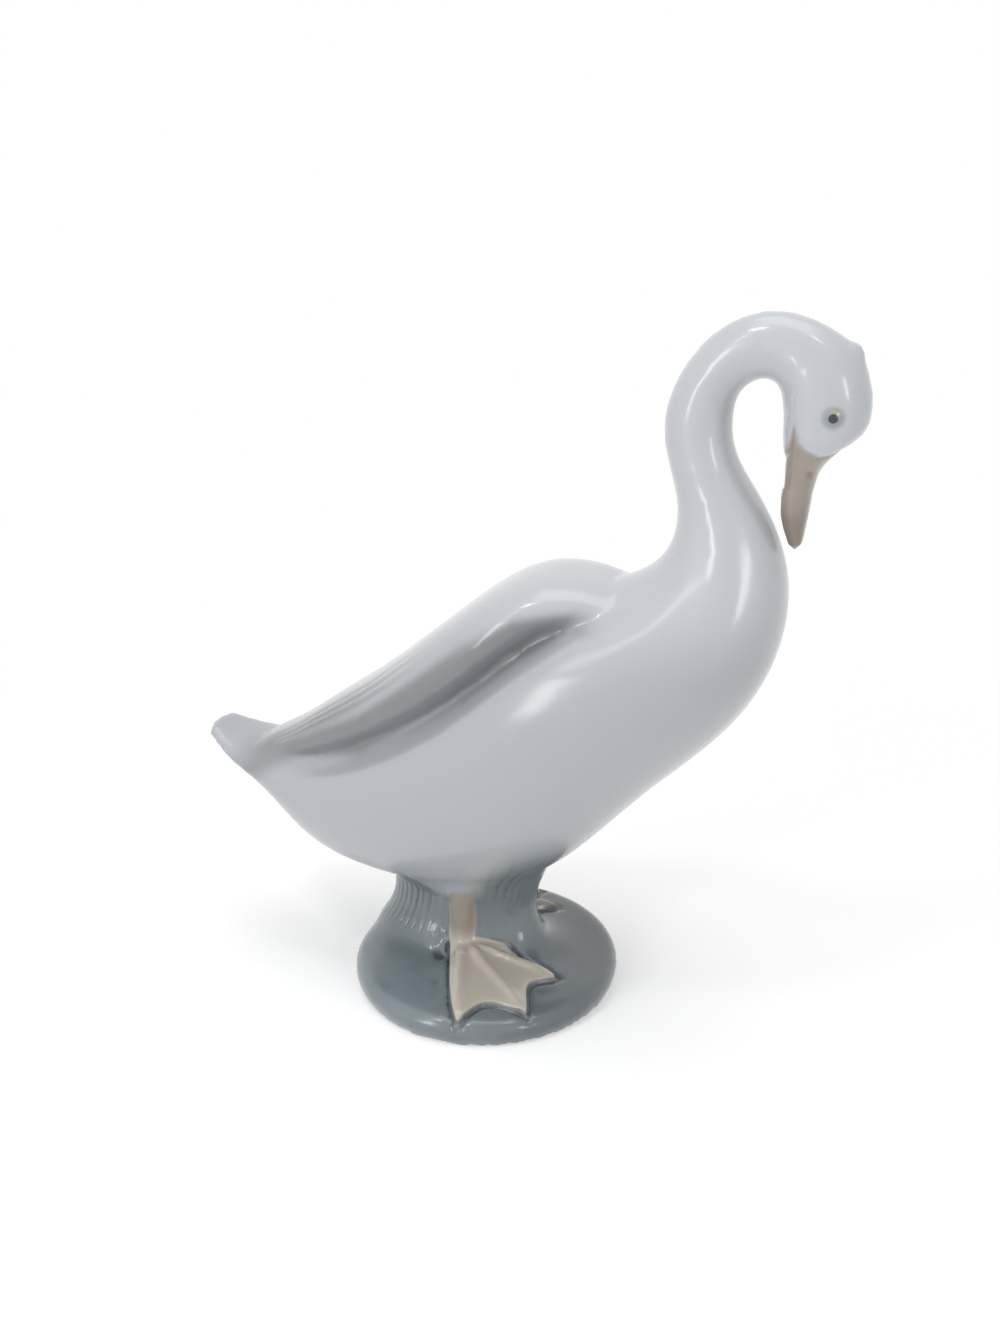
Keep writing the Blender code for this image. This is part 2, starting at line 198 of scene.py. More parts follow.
@dataclass
class Shell:
    """Points and faces of a closed surface, as arrays."""

    points: np.ndarray
    quads: np.ndarray

    @classmethod
    def from_grid(cls, grid: np.ndarray) -> "Shell":
        """Wrap a grid of rings, closed round and with its end rings drawn to points.

        Args:
            grid: Rings by points by three coordinates.

        Returns:
            The closed surface, facing out; the faces at its poles have no width.
        """
        rings, sides, _ = grid.shape
        ring = np.arange(rings - 1)[:, None] * sides
        here = np.arange(sides)[None, :]
        after = (here + 1) % sides
        quads = np.stack((ring + here, ring + after, ring + sides + after, ring + sides + here), axis=-1)
        return cls(grid.reshape(-1, 3), quads.reshape(-1, 4)).facing_out()

    @classmethod
    def of_rings(cls, x: np.ndarray, y: np.ndarray, z: np.ndarray, cap: float | None = None) -> "Shell":
        """Close rings given by their coordinates, one ring a row.

        Args:
            x: The rings' places along the bird.
            y: Their places across it.
            z: Their heights.
            cap: Length of a round cap at both ends, if they are to have one.

        Returns:
            The closed surface.
        """
        grid = np.stack((x, y, z), axis=-1)
        return cls.from_grid(grid if cap is None else round_ends(grid, cap, cap))

    def facing_out(self) -> "Shell":
        """Turn the faces round if the volume they enclose comes out negative."""
        a, b, c, d = (self.points[self.quads[:, k]] for k in range(4))
        volume = np.einsum("ij,ij->", a, np.cross(b, c)) + np.einsum("ij,ij->", a, np.cross(c, d))
        return self if volume > 0.0 else Shell(self.points, self.quads[:, ::-1])


def join(shells: list[Shell]) -> Shell:
    """Put several surfaces into one list of points and faces.

    Args:
        shells: The surfaces.

    Returns:
        One surface of them all, whose parts may overlap.
    """
    starts = np.cumsum([0] + [len(shell.points) for shell in shells[:-1]])
    quads = [shell.quads + start for shell, start in zip(shells, starts)]
    return Shell(np.concatenate([shell.points for shell in shells]), np.concatenate(quads))


def mesh_object(name: str, shell: Shell) -> bpy.types.Object:
    """Make a Blender object of a surface.

    Args:
        name: The object's name.
        shell: Its points and faces.

    Returns:
        The object, linked to the scene at the origin.
    """
    mesh = bpy.data.meshes.new(name)
    mesh.from_pydata(shell.points, [], shell.quads)
    mesh.validate()
    piece = bpy.data.objects.new(name, mesh)
    bpy.context.scene.collection.objects.link(piece)
    return piece


def apply_modifiers(piece: bpy.types.Object) -> None:
    """Replace an object's mesh by what its modifiers make of it.

    Args:
        piece: The object.
    """
    deps = bpy.context.evaluated_depsgraph_get()
    made = bpy.data.meshes.new_from_object(piece.evaluated_get(deps))
    piece.modifiers.clear()
    piece.data = made
    made.name = piece.name


def fuse(piece: bpy.types.Object, voxel: float) -> None:
    """Fuse overlapping closed surfaces into one skin of even quads.

    Args:
        piece: The object that holds them.
        voxel: Size of the quads.
    """
    remesh = piece.modifiers.new("fuse", "REMESH")
    remesh.mode = "VOXEL"
    remesh.voxel_size = voxel
    remesh.use_smooth_shade = True
    apply_modifiers(piece)


def weld(piece: bpy.types.Object) -> None:
    """Merge points that lie in one place, which closes the poles of a surface.

    Args:
        piece: The object.
    """
    work = bmesh.new()
    work.from_mesh(piece.data)
    bmesh.ops.remove_doubles(work, verts=work.verts, dist=1e-3 * MM)
    work.to_mesh(piece.data)
    work.free()


def cut_away(piece: bpy.types.Object, cutter: bpy.types.Object) -> None:
    """Cut one closed skin by another, and take the cutter out of the scene.

    Args:
        piece: The object that is cut.
        cutter: The space to take out of it.
    """
    cut = piece.modifiers.new("cut", "BOOLEAN")
    cut.operation = "DIFFERENCE"
    cut.solver = "EXACT"
    cut.object = cutter
    apply_modifiers(piece)
    bpy.data.objects.remove(cutter, do_unlink=True)


def read_points(mesh: bpy.types.Mesh) -> np.ndarray:
    """All the points of a mesh.

    Args:
        mesh: The mesh.

    Returns:
        One row of three coordinates for each point.
    """
    flat = np.empty(len(mesh.vertices) * 3)
    mesh.vertices.foreach_get("co", flat)
    return flat.reshape(-1, 3)


def read_normals(mesh: bpy.types.Mesh) -> np.ndarray:
    """The outward direction at each point of a mesh.

    Args:
        mesh: The mesh.

    Returns:
        One row for each point, of length one.
    """
    flat = np.empty(len(mesh.vertices) * 3, dtype=np.float32)
    mesh.vertex_normals.foreach_get("vector", flat)
    return flat.reshape(-1, 3).astype(float)


def write_points(mesh: bpy.types.Mesh, points: np.ndarray) -> None:
    """Move the points of a mesh."""
    mesh.vertices.foreach_set("co", points.astype(np.float32).ravel())
    mesh.update()


def write_field(mesh: bpy.types.Mesh, name: str, values: np.ndarray) -> None:
    """Store one number per point under a name that a material reads."""
    field = mesh.attributes.new(name, "FLOAT", "POINT")
    field.data.foreach_set("value", values.astype(np.float32))


class Smoother:
    """Averages points with their neighbours along a mesh's edges."""

    step_to: float = 0.5
    step_fro: float = 0.51

    def __init__(self, mesh: bpy.types.Mesh) -> None:
        """Read the mesh's edges once.

        Args:
            mesh: The mesh whose points are to be averaged.
        """
        flat = np.empty(len(mesh.edges) * 2, dtype=np.int64)
        mesh.edges.foreach_get("vertices", flat)
        self.edges = flat.reshape(-1, 2)
        self.count = len(mesh.vertices)
        self.valence = np.bincount(flat, minlength=self.count).astype(float)

    def mean(self, points: np.ndarray) -> np.ndarray:
        """The mean of each point's neighbours: sum over edges / number of edges.

        Args:
            points: One row of values for each point.

        Returns:
            One row of means for each point.
        """
        total = np.empty_like(points)
        a, b = self.edges[:, 0], self.edges[:, 1]
        for axis in range(points.shape[1]):
            column = points[:, axis]
            gathered = np.bincount(a, column[b], self.count) + np.bincount(b, column[a], self.count)
            total[:, axis] = gathered / self.valence
        return total

    def even(self, points: np.ndarray, rounds: int) -> np.ndarray:
        """Take the steps out of a fused skin without shrinking it.

        Each round moves points by step_to of the way to their neighbours' mean, then step_fro back.

        Args:
            points: The points.
            rounds: How many times to go to and fro.

        Returns:
            The evened points.
        """
        for _ in range(rounds):
            points = points + self.step_to * (self.mean(points) - points)
            points = points - self.step_fro * (self.mean(points) - points)
        return points

    def glaze(self, points: np.ndarray, out: np.ndarray, rounds: int, fill: np.ndarray,
              wear: np.ndarray) -> np.ndarray:
        """Let glaze fill the creases more than it rounds the edges.

        Each round moves a point by half the step to its neighbours' mean, times fill where that step
        leads outwards and times wear where it leads inwards.

        Args:
            points: The points.
            out: Outward direction at each point.
            rounds: How many rounds of averaging.
            fill: Share of each step taken where the surface is hollow, per point.
            wear: Share of each step taken where it bulges, per point.

        Returns:
            The softened points.
        """
        for _ in range(rounds):
            step = self.mean(points) - points
            bulges = np.einsum("ij,ij->i", step, out) < 0.0
            points = points + step * np.where(bulges, wear, fill)[:, None] * self.step_to
        return points

    def hollowness(self, points: np.ndarray, out: np.ndarray, rounds: int) -> np.ndarray:
        """How hollow the surface is at each point: (mean - point) . out, evened over its neighbours.

        Args:
            points: The points.
            out: Outward direction at each point.
            rounds: How many rounds of averaging.

        Returns:
            A depth for each point, below zero where the surface bulges.
        """
        depth = np.einsum("ij,ij->i", self.mean(points) - points, out)[:, None]
        for _ in range(rounds):
            depth = 0.5 * depth + 0.5 * self.mean(depth)
        return depth[:, 0]


def refine(piece: bpy.types.Object, chosen: np.ndarray) -> None:
    """Split the faces among the chosen points into four.

    Args:
        piece: The object.
        chosen: Which of its points take part.
    """
    mesh = piece.data
    mesh.vertices.foreach_set("select", chosen)
    work = bmesh.new()
    work.from_mesh(mesh)
    edges = [edge for edge in work.edges if edge.verts[0].select and edge.verts[1].select]
    bmesh.ops.subdivide_edges(work, edges=edges, cuts=1, use_grid_fill=True)
    work.to_mesh(mesh)
    work.free()


# The casting's parts


@dataclass(frozen=True)
class Stance:
    """Where the bird stands on the base, and how high the base's top is."""

    side: float = 4.1 * MM
    fore: float = 1.2 * MM
    lift: float = 7.0 * MM


@dataclass(frozen=True)
class Base:
    """The round base, whose top is at the height that the rest is measured from."""

    radius: float = 35.3 * MM
    breadth_ratio: float = 1.035
    height: float = 7.0 * MM
    edge_radius: float = 3.5 * MM
    foot_radius: float = 1.2 * MM
    foot_inset: float = 0.4 * MM
    mound: float = 0.8 * MM
    sides: int = 220

    def distance(self, x: np.ndarray, y: np.ndarray) -> np.ndarray:
        """How far places lie from the middle, measured as along the base's length."""
        return np.hypot(x, y / self.breadth_ratio)

    def top(self, radius: np.ndarray) -> np.ndarray:
        """Height of the gently mounded top: height + mound * (1 - (r / inner radius)^2)."""
        share = np.clip(radius / (self.radius - self.edge_radius), 0.0, 1.0)
        return self.height + self.mound * (1.0 - share ** 2)

    def ground(self, radius: np.ndarray) -> np.ndarray:
        """The top with its fall over the rounded rim, for what drapes over the edge."""
        past = np.clip(radius - (self.radius - self.edge_radius), 0.0, None)
        return self.top(radius) - past ** 2 / self.edge_radius

    def shell(self) -> Shell:
        """Turn the base's profile round the upright axis.

        Returns:
            The closed base.
        """
        foot = self.radius - self.foot_inset - self.foot_radius
        inner = self.radius - self.edge_radius
        low = np.radians(np.linspace(-90.0, 0.0, 7))
        high = np.radians(np.linspace(0.0, 90.0, 13))
        flat = np.linspace(1.0, 0.0, 25)[1:] * inner
        rise = self.height - self.edge_radius
        radii = np.concatenate(((0.0, 0.5 * foot), foot + self.foot_radius * np.cos(low),
                                inner + self.edge_radius * np.cos(high), flat))
        heights = np.concatenate(((0.0, 0.0), self.foot_radius * (1.0 + np.sin(low)),
                                  rise + self.edge_radius * np.sin(high), self.top(flat)))
        turn = turns(self.sides)
        radius, height = columns(np.column_stack((radii, heights)))
        y = radius * self.breadth_ratio * np.sin(turn)
        return Shell.of_rings(radius * np.cos(turn), y, height + 0.0 * turn)


@dataclass(frozen=True)
class Bird:
    """Body, neck, head and beak: ovals between a back line and a belly line, from tail to beak.

    Each station gives back x, z, belly x, z, half width, how far the flank stands out, and the angle
    down from the back, in degrees, of the flank's edge. Each flute gives its angle from the back in
    degrees, its height, its reach up and down, and its depth as a share of the radius. Lengths are
    millimetres above the base.
    """

    stance: Stance = Stance()
    tail_cap: float = 2.6 * MM
    beak_cap: float = 3.0 * MM
    rings: int = 300
    sides: int = 120
    edge_spread: float = math.radians(9.0)
    flutes: tuple = ((72.0, 122.0, 17.0, 0.055), (118.0, 126.0, 15.0, 0.045))
    flute_width: float = 13.0
    neck_from: float = 30.0
    wall: float = 4.0 * MM
    hollow_span: tuple = (3, 11)
    hollow_cap: float = 3.5 * MM
    stations: tuple = (
        (-80.2, 54.0, -80.6, 49.9, 7.5, 0.0, 60.0),
        (-75.3, 51.8, -75.8, 47.1, 10.4, 0.0, 60.0),
        (-62.0, 51.4, -62.4, 39.5, 15.5, 1.0, 61.0),
        (-47.0, 57.5, -48.2, 26.7, 21.2, 4.0, 61.0),
        (-33.0, 68.0, -30.0, 20.0, 25.5, 6.5, 62.0),
        (-6.0, 91.5, 11.0, 24.2, 28.0, 8.8, 58.0),
        (6.5, 100.6, 26.7, 37.1, 28.2, 9.0, 55.0),
        (20.0, 104.4, 43.3, 55.2, 27.0, 7.5, 47.0),
        (36.4, 109.6, 67.2, 84.0, 21.0, 3.0, 38.0),
        (43.6, 117.0, 71.8, 109.5, 14.3, 0.0, 50.0),
        (44.9, 128.7, 64.2, 129.2, 9.8, 0.0, 50.0),
        (41.7, 140.5, 57.3, 141.3, 7.8, 0.0, 50.0),
        (42.3, 152.2, 57.0, 151.0, 7.2, 0.0, 50.0),
        (48.8, 163.6, 59.2, 155.0, 6.7, 0.0, 50.0),
        (57.5, 170.0, 61.9, 156.7, 6.6, 0.0, 50.0),
        (66.5, 171.6, 64.4, 156.9, 6.8, 0.0, 50.0),
        (76.5, 168.6, 66.6, 155.6, 7.7, 0.0, 50.0),
        (83.4, 163.3, 67.6, 151.5, 8.5, 0.0, 50.0),
        (86.5, 155.8, 68.1, 147.0, 8.8, 0.0, 50.0),
        (85.6, 146.7, 68.6, 139.8, 7.9, 0.0, 50.0),
        (77.5, 137.9, 68.7, 133.2, 5.3, 0.0, 50.0),
        (75.3, 127.5, 68.9, 126.0, 4.4, 0.0, 50.0),
        (74.5, 121.6, 70.4, 121.2, 3.0, 0.0, 50.0),
    )

    def grid(self, table: np.ndarray, rings: int, sides: int, wall: float) -> np.ndarray:
        """Rings of the bird, or of the space a wall inside it.

        A ring is centre + arm * cos(t) lengthwise and width * sin(t) sideways, where the width is
        less by the flank's step above the flank's edge.

        Args:
            table: The stations to pass through.
            rings: How many rings to read.
            sides: Points in each ring.
            wall: How far inside the outer skin.

        Returns:
            Rings by points by three coordinates.
        """
        rows = read_table(table, (table[:, 0:2] + table[:, 2:4]) / 2.0, rings)
        turn = turns(sides)
        away = np.minimum(turn, 2.0 * math.pi - turn)
        back, belly = rows[:, 0:2] * MM, rows[:, 2:4] * MM
        centre = (back + belly) / 2.0
        arm = (back - belly) / 2.0
        arm = arm * (1.0 - wall / np.linalg.norm(arm, axis=1))[:, None]
        half, flank, edge = columns(rows[:, 4:])
        drop = smooth_step(0.0, 1.0, (np.radians(edge) - away) / self.edge_spread + 0.5)
        inset = np.clip(flank, 0.0, None) * MM * drop
        flute = self.flute(rows, away)
        arm = arm[:, :, None] * (1.0 - flute)[:, None, :]
        across = (half * MM - wall - inset) * np.sin(turn) * (1.0 - flute)
        centre_x, centre_z = columns(centre)
        x = centre_x + arm[:, 0] * np.cos(turn) + self.stance.fore
        z = centre_z + arm[:, 1] * np.cos(turn) + self.stance.lift
        return np.stack((x, across + self.stance.side, z), axis=-1)

    def flute(self, rows: np.ndarray, away: np.ndarray) -> np.ndarray:
        """How far the long hollows of the neck draw its skin in, as a share of its radius.

        Each hollow is depth * bell(angle) * bell(height), both about its own middle.

        Args:
            rows: The stations that were read.
            away: Angles from the back, as a row.

        Returns:
            One share for each point of the rings.
        """
        middle = 0.5 * (rows[:, 1] + rows[:, 3])[:, None]
        on_neck = (rows[:, 0] > self.neck_from)[:, None]
        share = np.zeros((len(rows), away.shape[1]))
        for angle, height, reach, depth in self.flutes:
            share += depth * bell(np.degrees(away) - angle, self.flute_width) * bell(middle - height, reach)
        return share * on_neck

    def shell(self) -> Shell:
        """The whole bird as one closed surface."""
        grid = self.grid(np.array(self.stations), self.rings, self.sides, 0.0)
        return Shell.from_grid(round_ends(grid, self.tail_cap, self.beak_cap))

    def hollow(self) -> Shell:
        """The space inside the body and the lower neck, a wall inside the skin."""
        grid = self.grid(np.array(self.stations[slice(*self.hollow_span)]), 60, 40, self.wall)
        return Shell.from_grid(round_ends(grid, self.hollow_cap, self.hollow_cap))


@dataclass(frozen=True)
class Wings:
    """Both folded wings as one mantle over the back, whose lips overhang the flanks.

    Each station gives crown x, z, half width at the lip and the lip's depth below the crown, in mm.
    Each feather groove gives its share of the half width and its depth in mm; a fade gives where it
    starts and where it is full.
    """

    stance: Stance = Stance()
    cap: float = 2.0 * MM
    keel: float = 7.0 * MM
    top_squareness: float = 2.5
    keel_squareness: float = 1.8
    feathers: tuple = ((0.85, 0.5), (0.72, 0.5), (0.57, 0.3))
    feather_width: float = 0.9
    feather_zone: Zone = Zone(x_to=-4.0, z_from=52.0)
    upper_side: tuple = (1.0, 0.6)
    shoulder_fade: tuple = (-10.0, -34.0)
    tail_fade: tuple = (-66.0, -60.0)
    rings: int = 160
    sides: int = 140
    stations: tuple = (
        (42.0, 102.8, 11.0, 4.0),
        (34.0, 105.7, 13.6, 5.0),
        (27.0, 107.7, 15.5, 6.0),
        (20.5, 108.4, 17.3, 7.0),
        (13.5, 108.0, 19.0, 8.2),
        (4.5, 104.7, 20.6, 9.5),
        (-6.9, 96.4, 21.4, 10.5),
        (-19.1, 86.1, 21.2, 10.5),
        (-33.0, 74.8, 19.2, 9.0),
        (-47.4, 64.4, 16.0, 6.8),
        (-57.0, 57.6, 12.8, 5.0),
        (-66.0, 52.4, 9.8, 3.6),
    )

    def shell(self) -> Shell:
        """Carry a squarish oval along the crown.

        Sideways a ring is half width * sign(c) * |c|^(2 / squareness) of its cosine; downwards it falls
        from the crown to the lip's depth and goes on by the keel below it.

        Returns:
            The closed mantle.
        """
        table = np.array(self.stations)
        rows = read_table(table, table[:, 0:2], self.rings)
        along = np.gradient(rows[:, 0:2], axis=0)
        along_x, along_z = columns(along / np.linalg.norm(along, axis=1)[:, None])
        crown_x, crown_z, half, lip = columns(rows) * MM
        turn = turns(self.sides)
        power = 2.0 / np.where(np.sin(turn) > 0.0, self.top_squareness, self.keel_squareness)
        across = np.sign(np.cos(turn)) * np.abs(np.cos(turn)) ** power
        deep = np.sign(np.sin(turn)) * np.abs(np.sin(turn)) ** power
        below = lip * (1.0 - np.maximum(deep, 0.0)) + self.keel * np.maximum(-deep, 0.0)
        x = crown_x - along_z * below + self.stance.fore
        z = crown_z + along_x * below + self.stance.lift
        return Shell.of_rings(x, half * across + self.stance.side, z, self.cap)

    def relief(self, points: np.ndarray) -> np.ndarray:
        """Grooves between the long feathers, which run along the wings and fade towards the shoulders.

        A point's place across the wing is its distance from the middle over the half width at the
        nearest place on the crown; each groove is a bell about its own share of that.

        Args:
            points: Points in metres.

        Returns:
            How far each point moves outwards, in metres.
        """
        moved = np.zeros(len(points))
        some = np.flatnonzero(self.feather_zone.holds(points))
        table = np.array(self.stations)
        rows = read_table(table, table[:, 0:2], 120)
        ahead = points[some, 0][:, None] - (rows[:, 0] * MM + self.stance.fore)[None, :]
        above = points[some, 2][:, None] - (rows[:, 1] * MM + self.stance.lift)[None, :]
        gap = np.hypot(ahead, above)
        row = rows[np.argmin(gap, axis=1)]
        on_top = smooth_step(*self.upper_side, gap.min(axis=1) / (row[:, 3] * MM))
        off = np.abs(points[some, 1] - self.stance.side) / MM
        fade = smooth_step(*self.shoulder_fade, row[:, 0]) * smooth_step(*self.tail_fade, row[:, 0])
        for share, depth in self.feathers:
            moved[some] -= depth * MM * bell(off - share * row[:, 2], self.feather_width) * fade * on_top
        return moved


@dataclass(frozen=True)
class Tuft:
    """The tuft of grass that carries the bird.

    Each station gives height, middle x, half length and half breadth, in millimetres. A group of
    blades gives the direction of its middle from straight ahead and its width, in degrees; the
    strengths are those of the grooves everywhere, and what is added at the rear and in front. A fade
    or an edge gives where it starts and where it is full, and one for the front what is added there.
    """

    stance: Stance = Stance()
    blades: int = 22
    blade_depth: float = 0.15 * MM
    fine_blades: int = 50
    groove: float = 0.45 * MM
    sway: tuple = (1.7, 3.0)
    lean: tuple = (0.9, 0.25)
    rear_blades: tuple = (130.0, 24.0)
    front_blades: tuple = (46.0, 24.0)
    front_rise: tuple = (12.0, 22.0)
    front_side: tuple = (85.0, 60.0)
    strengths: tuple = (0.15, 0.85, 0.75)
    inner_edge: tuple = (0.8, 0.9)
    outer_edge: tuple = (1.35, 1.15)
    outer_edge_front: tuple = (0.5, 0.4)
    foot_fade: tuple = (2.0, 9.0)
    head_fade: tuple = (27.0, 17.0)
    head_fade_front: tuple = (13.0, 9.0)
    wall: float = 3.5 * MM
    floor: float = 4.0 * MM
    rings: int = 70
    sides: int = 330
    stations: tuple = (
        (-3.0, -9.6, 25.6, 15.0),
        (1.0, -9.8, 24.9, 13.2),
        (6.0, -9.4, 22.4, 10.6),
        (12.0, -9.0, 20.4, 9.5),
        (18.0, -8.7, 20.6, 9.8),
        (24.0, -8.0, 22.0, 12.0),
        (30.0, -7.0, 23.4, 14.0),
        (37.0, -6.0, 23.0, 15.0),
    )

    def grid(self, rings: int, sides: int, wall: float, wave: float) -> np.ndarray:
        """Level ovals up the tuft, with blades of grass as waves round it.

        Args:
            rings: How many ovals.
            sides: Points in each.
            wall: How far inside the skin.
            wave: Height of the waves.

        Returns:
            Rings by points by three coordinates.
        """
        table = np.array(self.stations)
        rows = read_table(table, table[:, 0:2], rings)
        turn = turns(sides)
        ripple = wave * np.cos(self.blades * turn)
        height, middle, length, breadth = columns(rows) * MM
        x = middle + (length - wall + ripple) * np.cos(turn)
        y = (breadth - wall + ripple) * np.sin(turn)
        z = height + self.stance.lift + 0.0 * turn
        return np.stack((x + self.stance.fore, y + self.stance.side, z), axis=-1)

    def shell(self) -> Shell:
        """The tuft between the base and the belly."""
        grid = self.grid(self.rings, self.sides, wall=0.0, wave=self.blade_depth)
        return Shell.from_grid(round_ends(grid, 0.1 * MM, 0.1 * MM))

    def seen_from_above(self, points: np.ndarray) -> tuple[np.ndarray, np.ndarray, np.ndarray]:
        """Where points lie about the tuft.

        Args:
            points: Points in metres.

        Returns:
            Height above the base in millimetres, direction from the tuft's middle as its oval sees it,
            and share of the way from the middle to the oval.
        """
        table = np.array(self.stations)
        height = (points[:, 2] - self.stance.lift) / MM
        middle, length, breadth = (np.interp(height, table[:, 0], table[:, k]) for k in (1, 2, 3))
        x = ((points[:, 0] - self.stance.fore) / MM - middle) / length
        y = (points[:, 1] - self.stance.side) / MM / breadth
        return height, np.arctan2(y, x), np.hypot(x, y)

    def relief(self, points: np.ndarray) -> np.ndarray:
        """Narrow grooves between blades: upright at the rear, and running out over the belly in front.

        A groove is -depth * max(0, cos(blades * turn + sway))^3, with turn the direction from the
        tuft's middle as its oval sees it.

        Args:
            points: Points in metres.

        Returns:
            How far each point moves outwards, in metres.
        """
        height, turn, oval = self.seen_from_above(points)
        off = np.abs(np.degrees(turn))
        front = smooth_step(*self.front_side, off)
        outer = [plain + extra * front for plain, extra in zip(self.outer_edge, self.outer_edge_front)]
        head = [plain + extra * front for plain, extra in zip(self.head_fade, self.head_fade_front)]
        body = smooth_step(*self.inner_edge, oval) * smooth_step(*outer, oval)
        tall = smooth_step(*self.foot_fade, height) * smooth_step(*head, height)
        sway = self.sway[0] * np.sin(self.sway[1] * turn) + self.lean[0] * np.sin(self.lean[1] * height)
        wave = np.cos(self.fine_blades * turn + sway)
        rear = bell(off - self.rear_blades[0], self.rear_blades[1])
        belly = bell(off - self.front_blades[0], self.front_blades[1]) * smooth_step(*self.front_rise, height)
        everywhere, at_rear, in_front = self.strengths
        strength = np.clip(everywhere + at_rear * rear + in_front * belly, 0.0, 1.0)
        return -self.groove * np.clip(wave, 0.0, 1.0) ** 3 * strength * body * tall

    def hollow(self) -> Shell:
        """The space inside the tuft and the base, a wall inside the skin and above the floor."""
        grid = self.grid(40, 40, wall=self.wall, wave=0.0)
        grid = grid[grid[:, 0, 2] > self.floor]
        return Shell.from_grid(round_ends(grid, 0.5 * MM, 0.5 * MM))


@dataclass(frozen=True)
class Foot:
    """A webbed foot with its leg: three toes joined by dipping webs, and a small toe behind.

    Each toe gives its direction in degrees and its length in millimetres. Each level of the web gives
    its share of the outline and its height above the base in millimetres; each step of the leg gives
    its height in millimetres and its share of the leg's radius.
    """

    side: Side
    ankle_x: float
    toes: tuple
    base: Base = Base()
    stance: Stance = Stance()
    leg_side: float = 10.0 * MM
    leg_radius: float = 2.9 * MM
    toe_half_width: float = 3.4 * MM
    web_dip: float = 0.2
    spread: float = 0.45
    plate: float = 0.75 * MM
    plate_top: tuple = (12.5 * MM, 10.5 * MM)
    plate_bottom: tuple = (2.5 * MM, 4.0 * MM)
    plate_edge: tuple = (-0.2 * MM, 0.35 * MM)
    ridge: float = 1.1 * MM
    ridge_width: float = 1.3 * MM
    ridge_start: tuple = (1.0 * MM, 6.0 * MM)
    ridge_end: float = 0.75
    crease: float = 0.65 * MM
    crease_place: float = 0.75 * MM
    crease_width: float = 0.55 * MM
    paint_bottom: float = 3.0 * MM
    paint_on_web: float = 11.6 * MM
    paint_on_ankle: float = 14.2 * MM
    paint_fall: float = 0.2
    paint_top: float = 27.5 * MM
    paint_radius: float = 1.3
    paint_slope: float = 0.12
    hind_length: float = 5.4 * MM
    hind_radius: float = 2.0 * MM
    hind_lift: float = 1.0 * MM
    hind_turn: float = math.radians(20.0)
    levels: tuple = (
        (0.02, -2.0), (1.0, -2.0), (1.0, 0.5), (0.985, 0.85), (0.95, 1.0),
        (0.7, 1.2), (0.4, 1.7), (0.2, 3.1), (0.08, 4.0), (0.005, 4.4),
    )
    leg_steps: tuple = ((-1.5, 1.15), (3.0, 1.1), (8.0, 1.0), (14.0, 1.0), (21.5, 1.2), (30.0, 1.3))
    sides: int = 240

    @property
    def ankle(self) -> np.ndarray:
        """Where the leg stands on the base, seen from above."""
        across = self.side.value * self.leg_side
        return np.array((self.ankle_x + self.stance.fore, self.stance.side + across))

    def reach(self, angle: np.ndarray) -> np.ndarray:
        """How far the foot reaches from the ankle at an angle.

        Between toes the reach runs from one toe's length to the next, less a dip of the web; past the
        outer toes it falls off as an ellipse whose half width is the toe's.

        Args:
            angle: Directions in radians.

        Returns:
            The reach in metres.
        """
        angles = np.radians([toe[0] for toe in self.toes])
        lengths = np.array([toe[1] for toe in self.toes]) * MM
        between = np.interp(angle, angles, lengths)
        place = np.interp(angle, angles, np.arange(len(angles)))
        web = between * (1.0 - self.web_dip * np.abs(np.sin(math.pi * place)))
        past = np.clip(np.maximum(angle - angles[-1], angles[0] - angle), 0.0, 0.5 * math.pi)
        side = 1.0 / np.sqrt(1.0 / between ** 2 + (np.sin(past) / self.toe_half_width) ** 2)
        return np.where(past > 0.0, side, web)

    def web(self) -> Shell:
        """The webbed foot: its outline drawn in towards the ankle as it rises.

        The outline's points lie closer together about the middle toe: angle = middle + pi * share *
        (spread + (1 - spread) * share^2), with the share running from -1 to 1.

        Returns:
            The closed foot.
        """
        middle = math.radians(self.toes[1][0])
        share = np.linspace(-1.0, 1.0, self.sides, endpoint=False)
        angle = middle + math.pi * share * (self.spread + (1.0 - self.spread) * share ** 2)
        inwards, height = columns(np.array(self.levels))
        reach = inwards * self.reach(angle)[None, :]
        x = self.ankle[0] + reach * np.cos(angle)
        y = self.ankle[1] + reach * np.sin(angle)
        z = self.base.ground(self.base.distance(x, y)) + height * MM
        return Shell.of_rings(x, y, z)

    def around(self, points: np.ndarray) -> tuple[np.ndarray, np.ndarray, np.ndarray]:
        """Where points lie about the ankle, seen from above.

        How far inside the outline is (reach - radius) / sqrt(1 + (slope of reach / radius)^2), which is
        close to the true distance.

        Args:
            points: Points in metres.

        Returns:
            Distance from the ankle, direction from it, and how far inside the outline.
        """
        away = points[:, 0:2] - self.ankle
        radius = np.maximum(np.hypot(away[:, 0], away[:, 1]), 0.1 * MM)
        middle = math.radians(self.toes[1][0])
        angle = np.arctan2(away[:, 1], away[:, 0])
        angle = middle + np.mod(angle - middle + math.pi, 2.0 * math.pi) - math.pi
        slope = (self.reach(angle + 0.01) - self.reach(angle - 0.01)) / 0.02
        inside = (self.reach(angle) - radius) / np.sqrt(1.0 + (slope / radius) ** 2)
        return radius, angle, inside

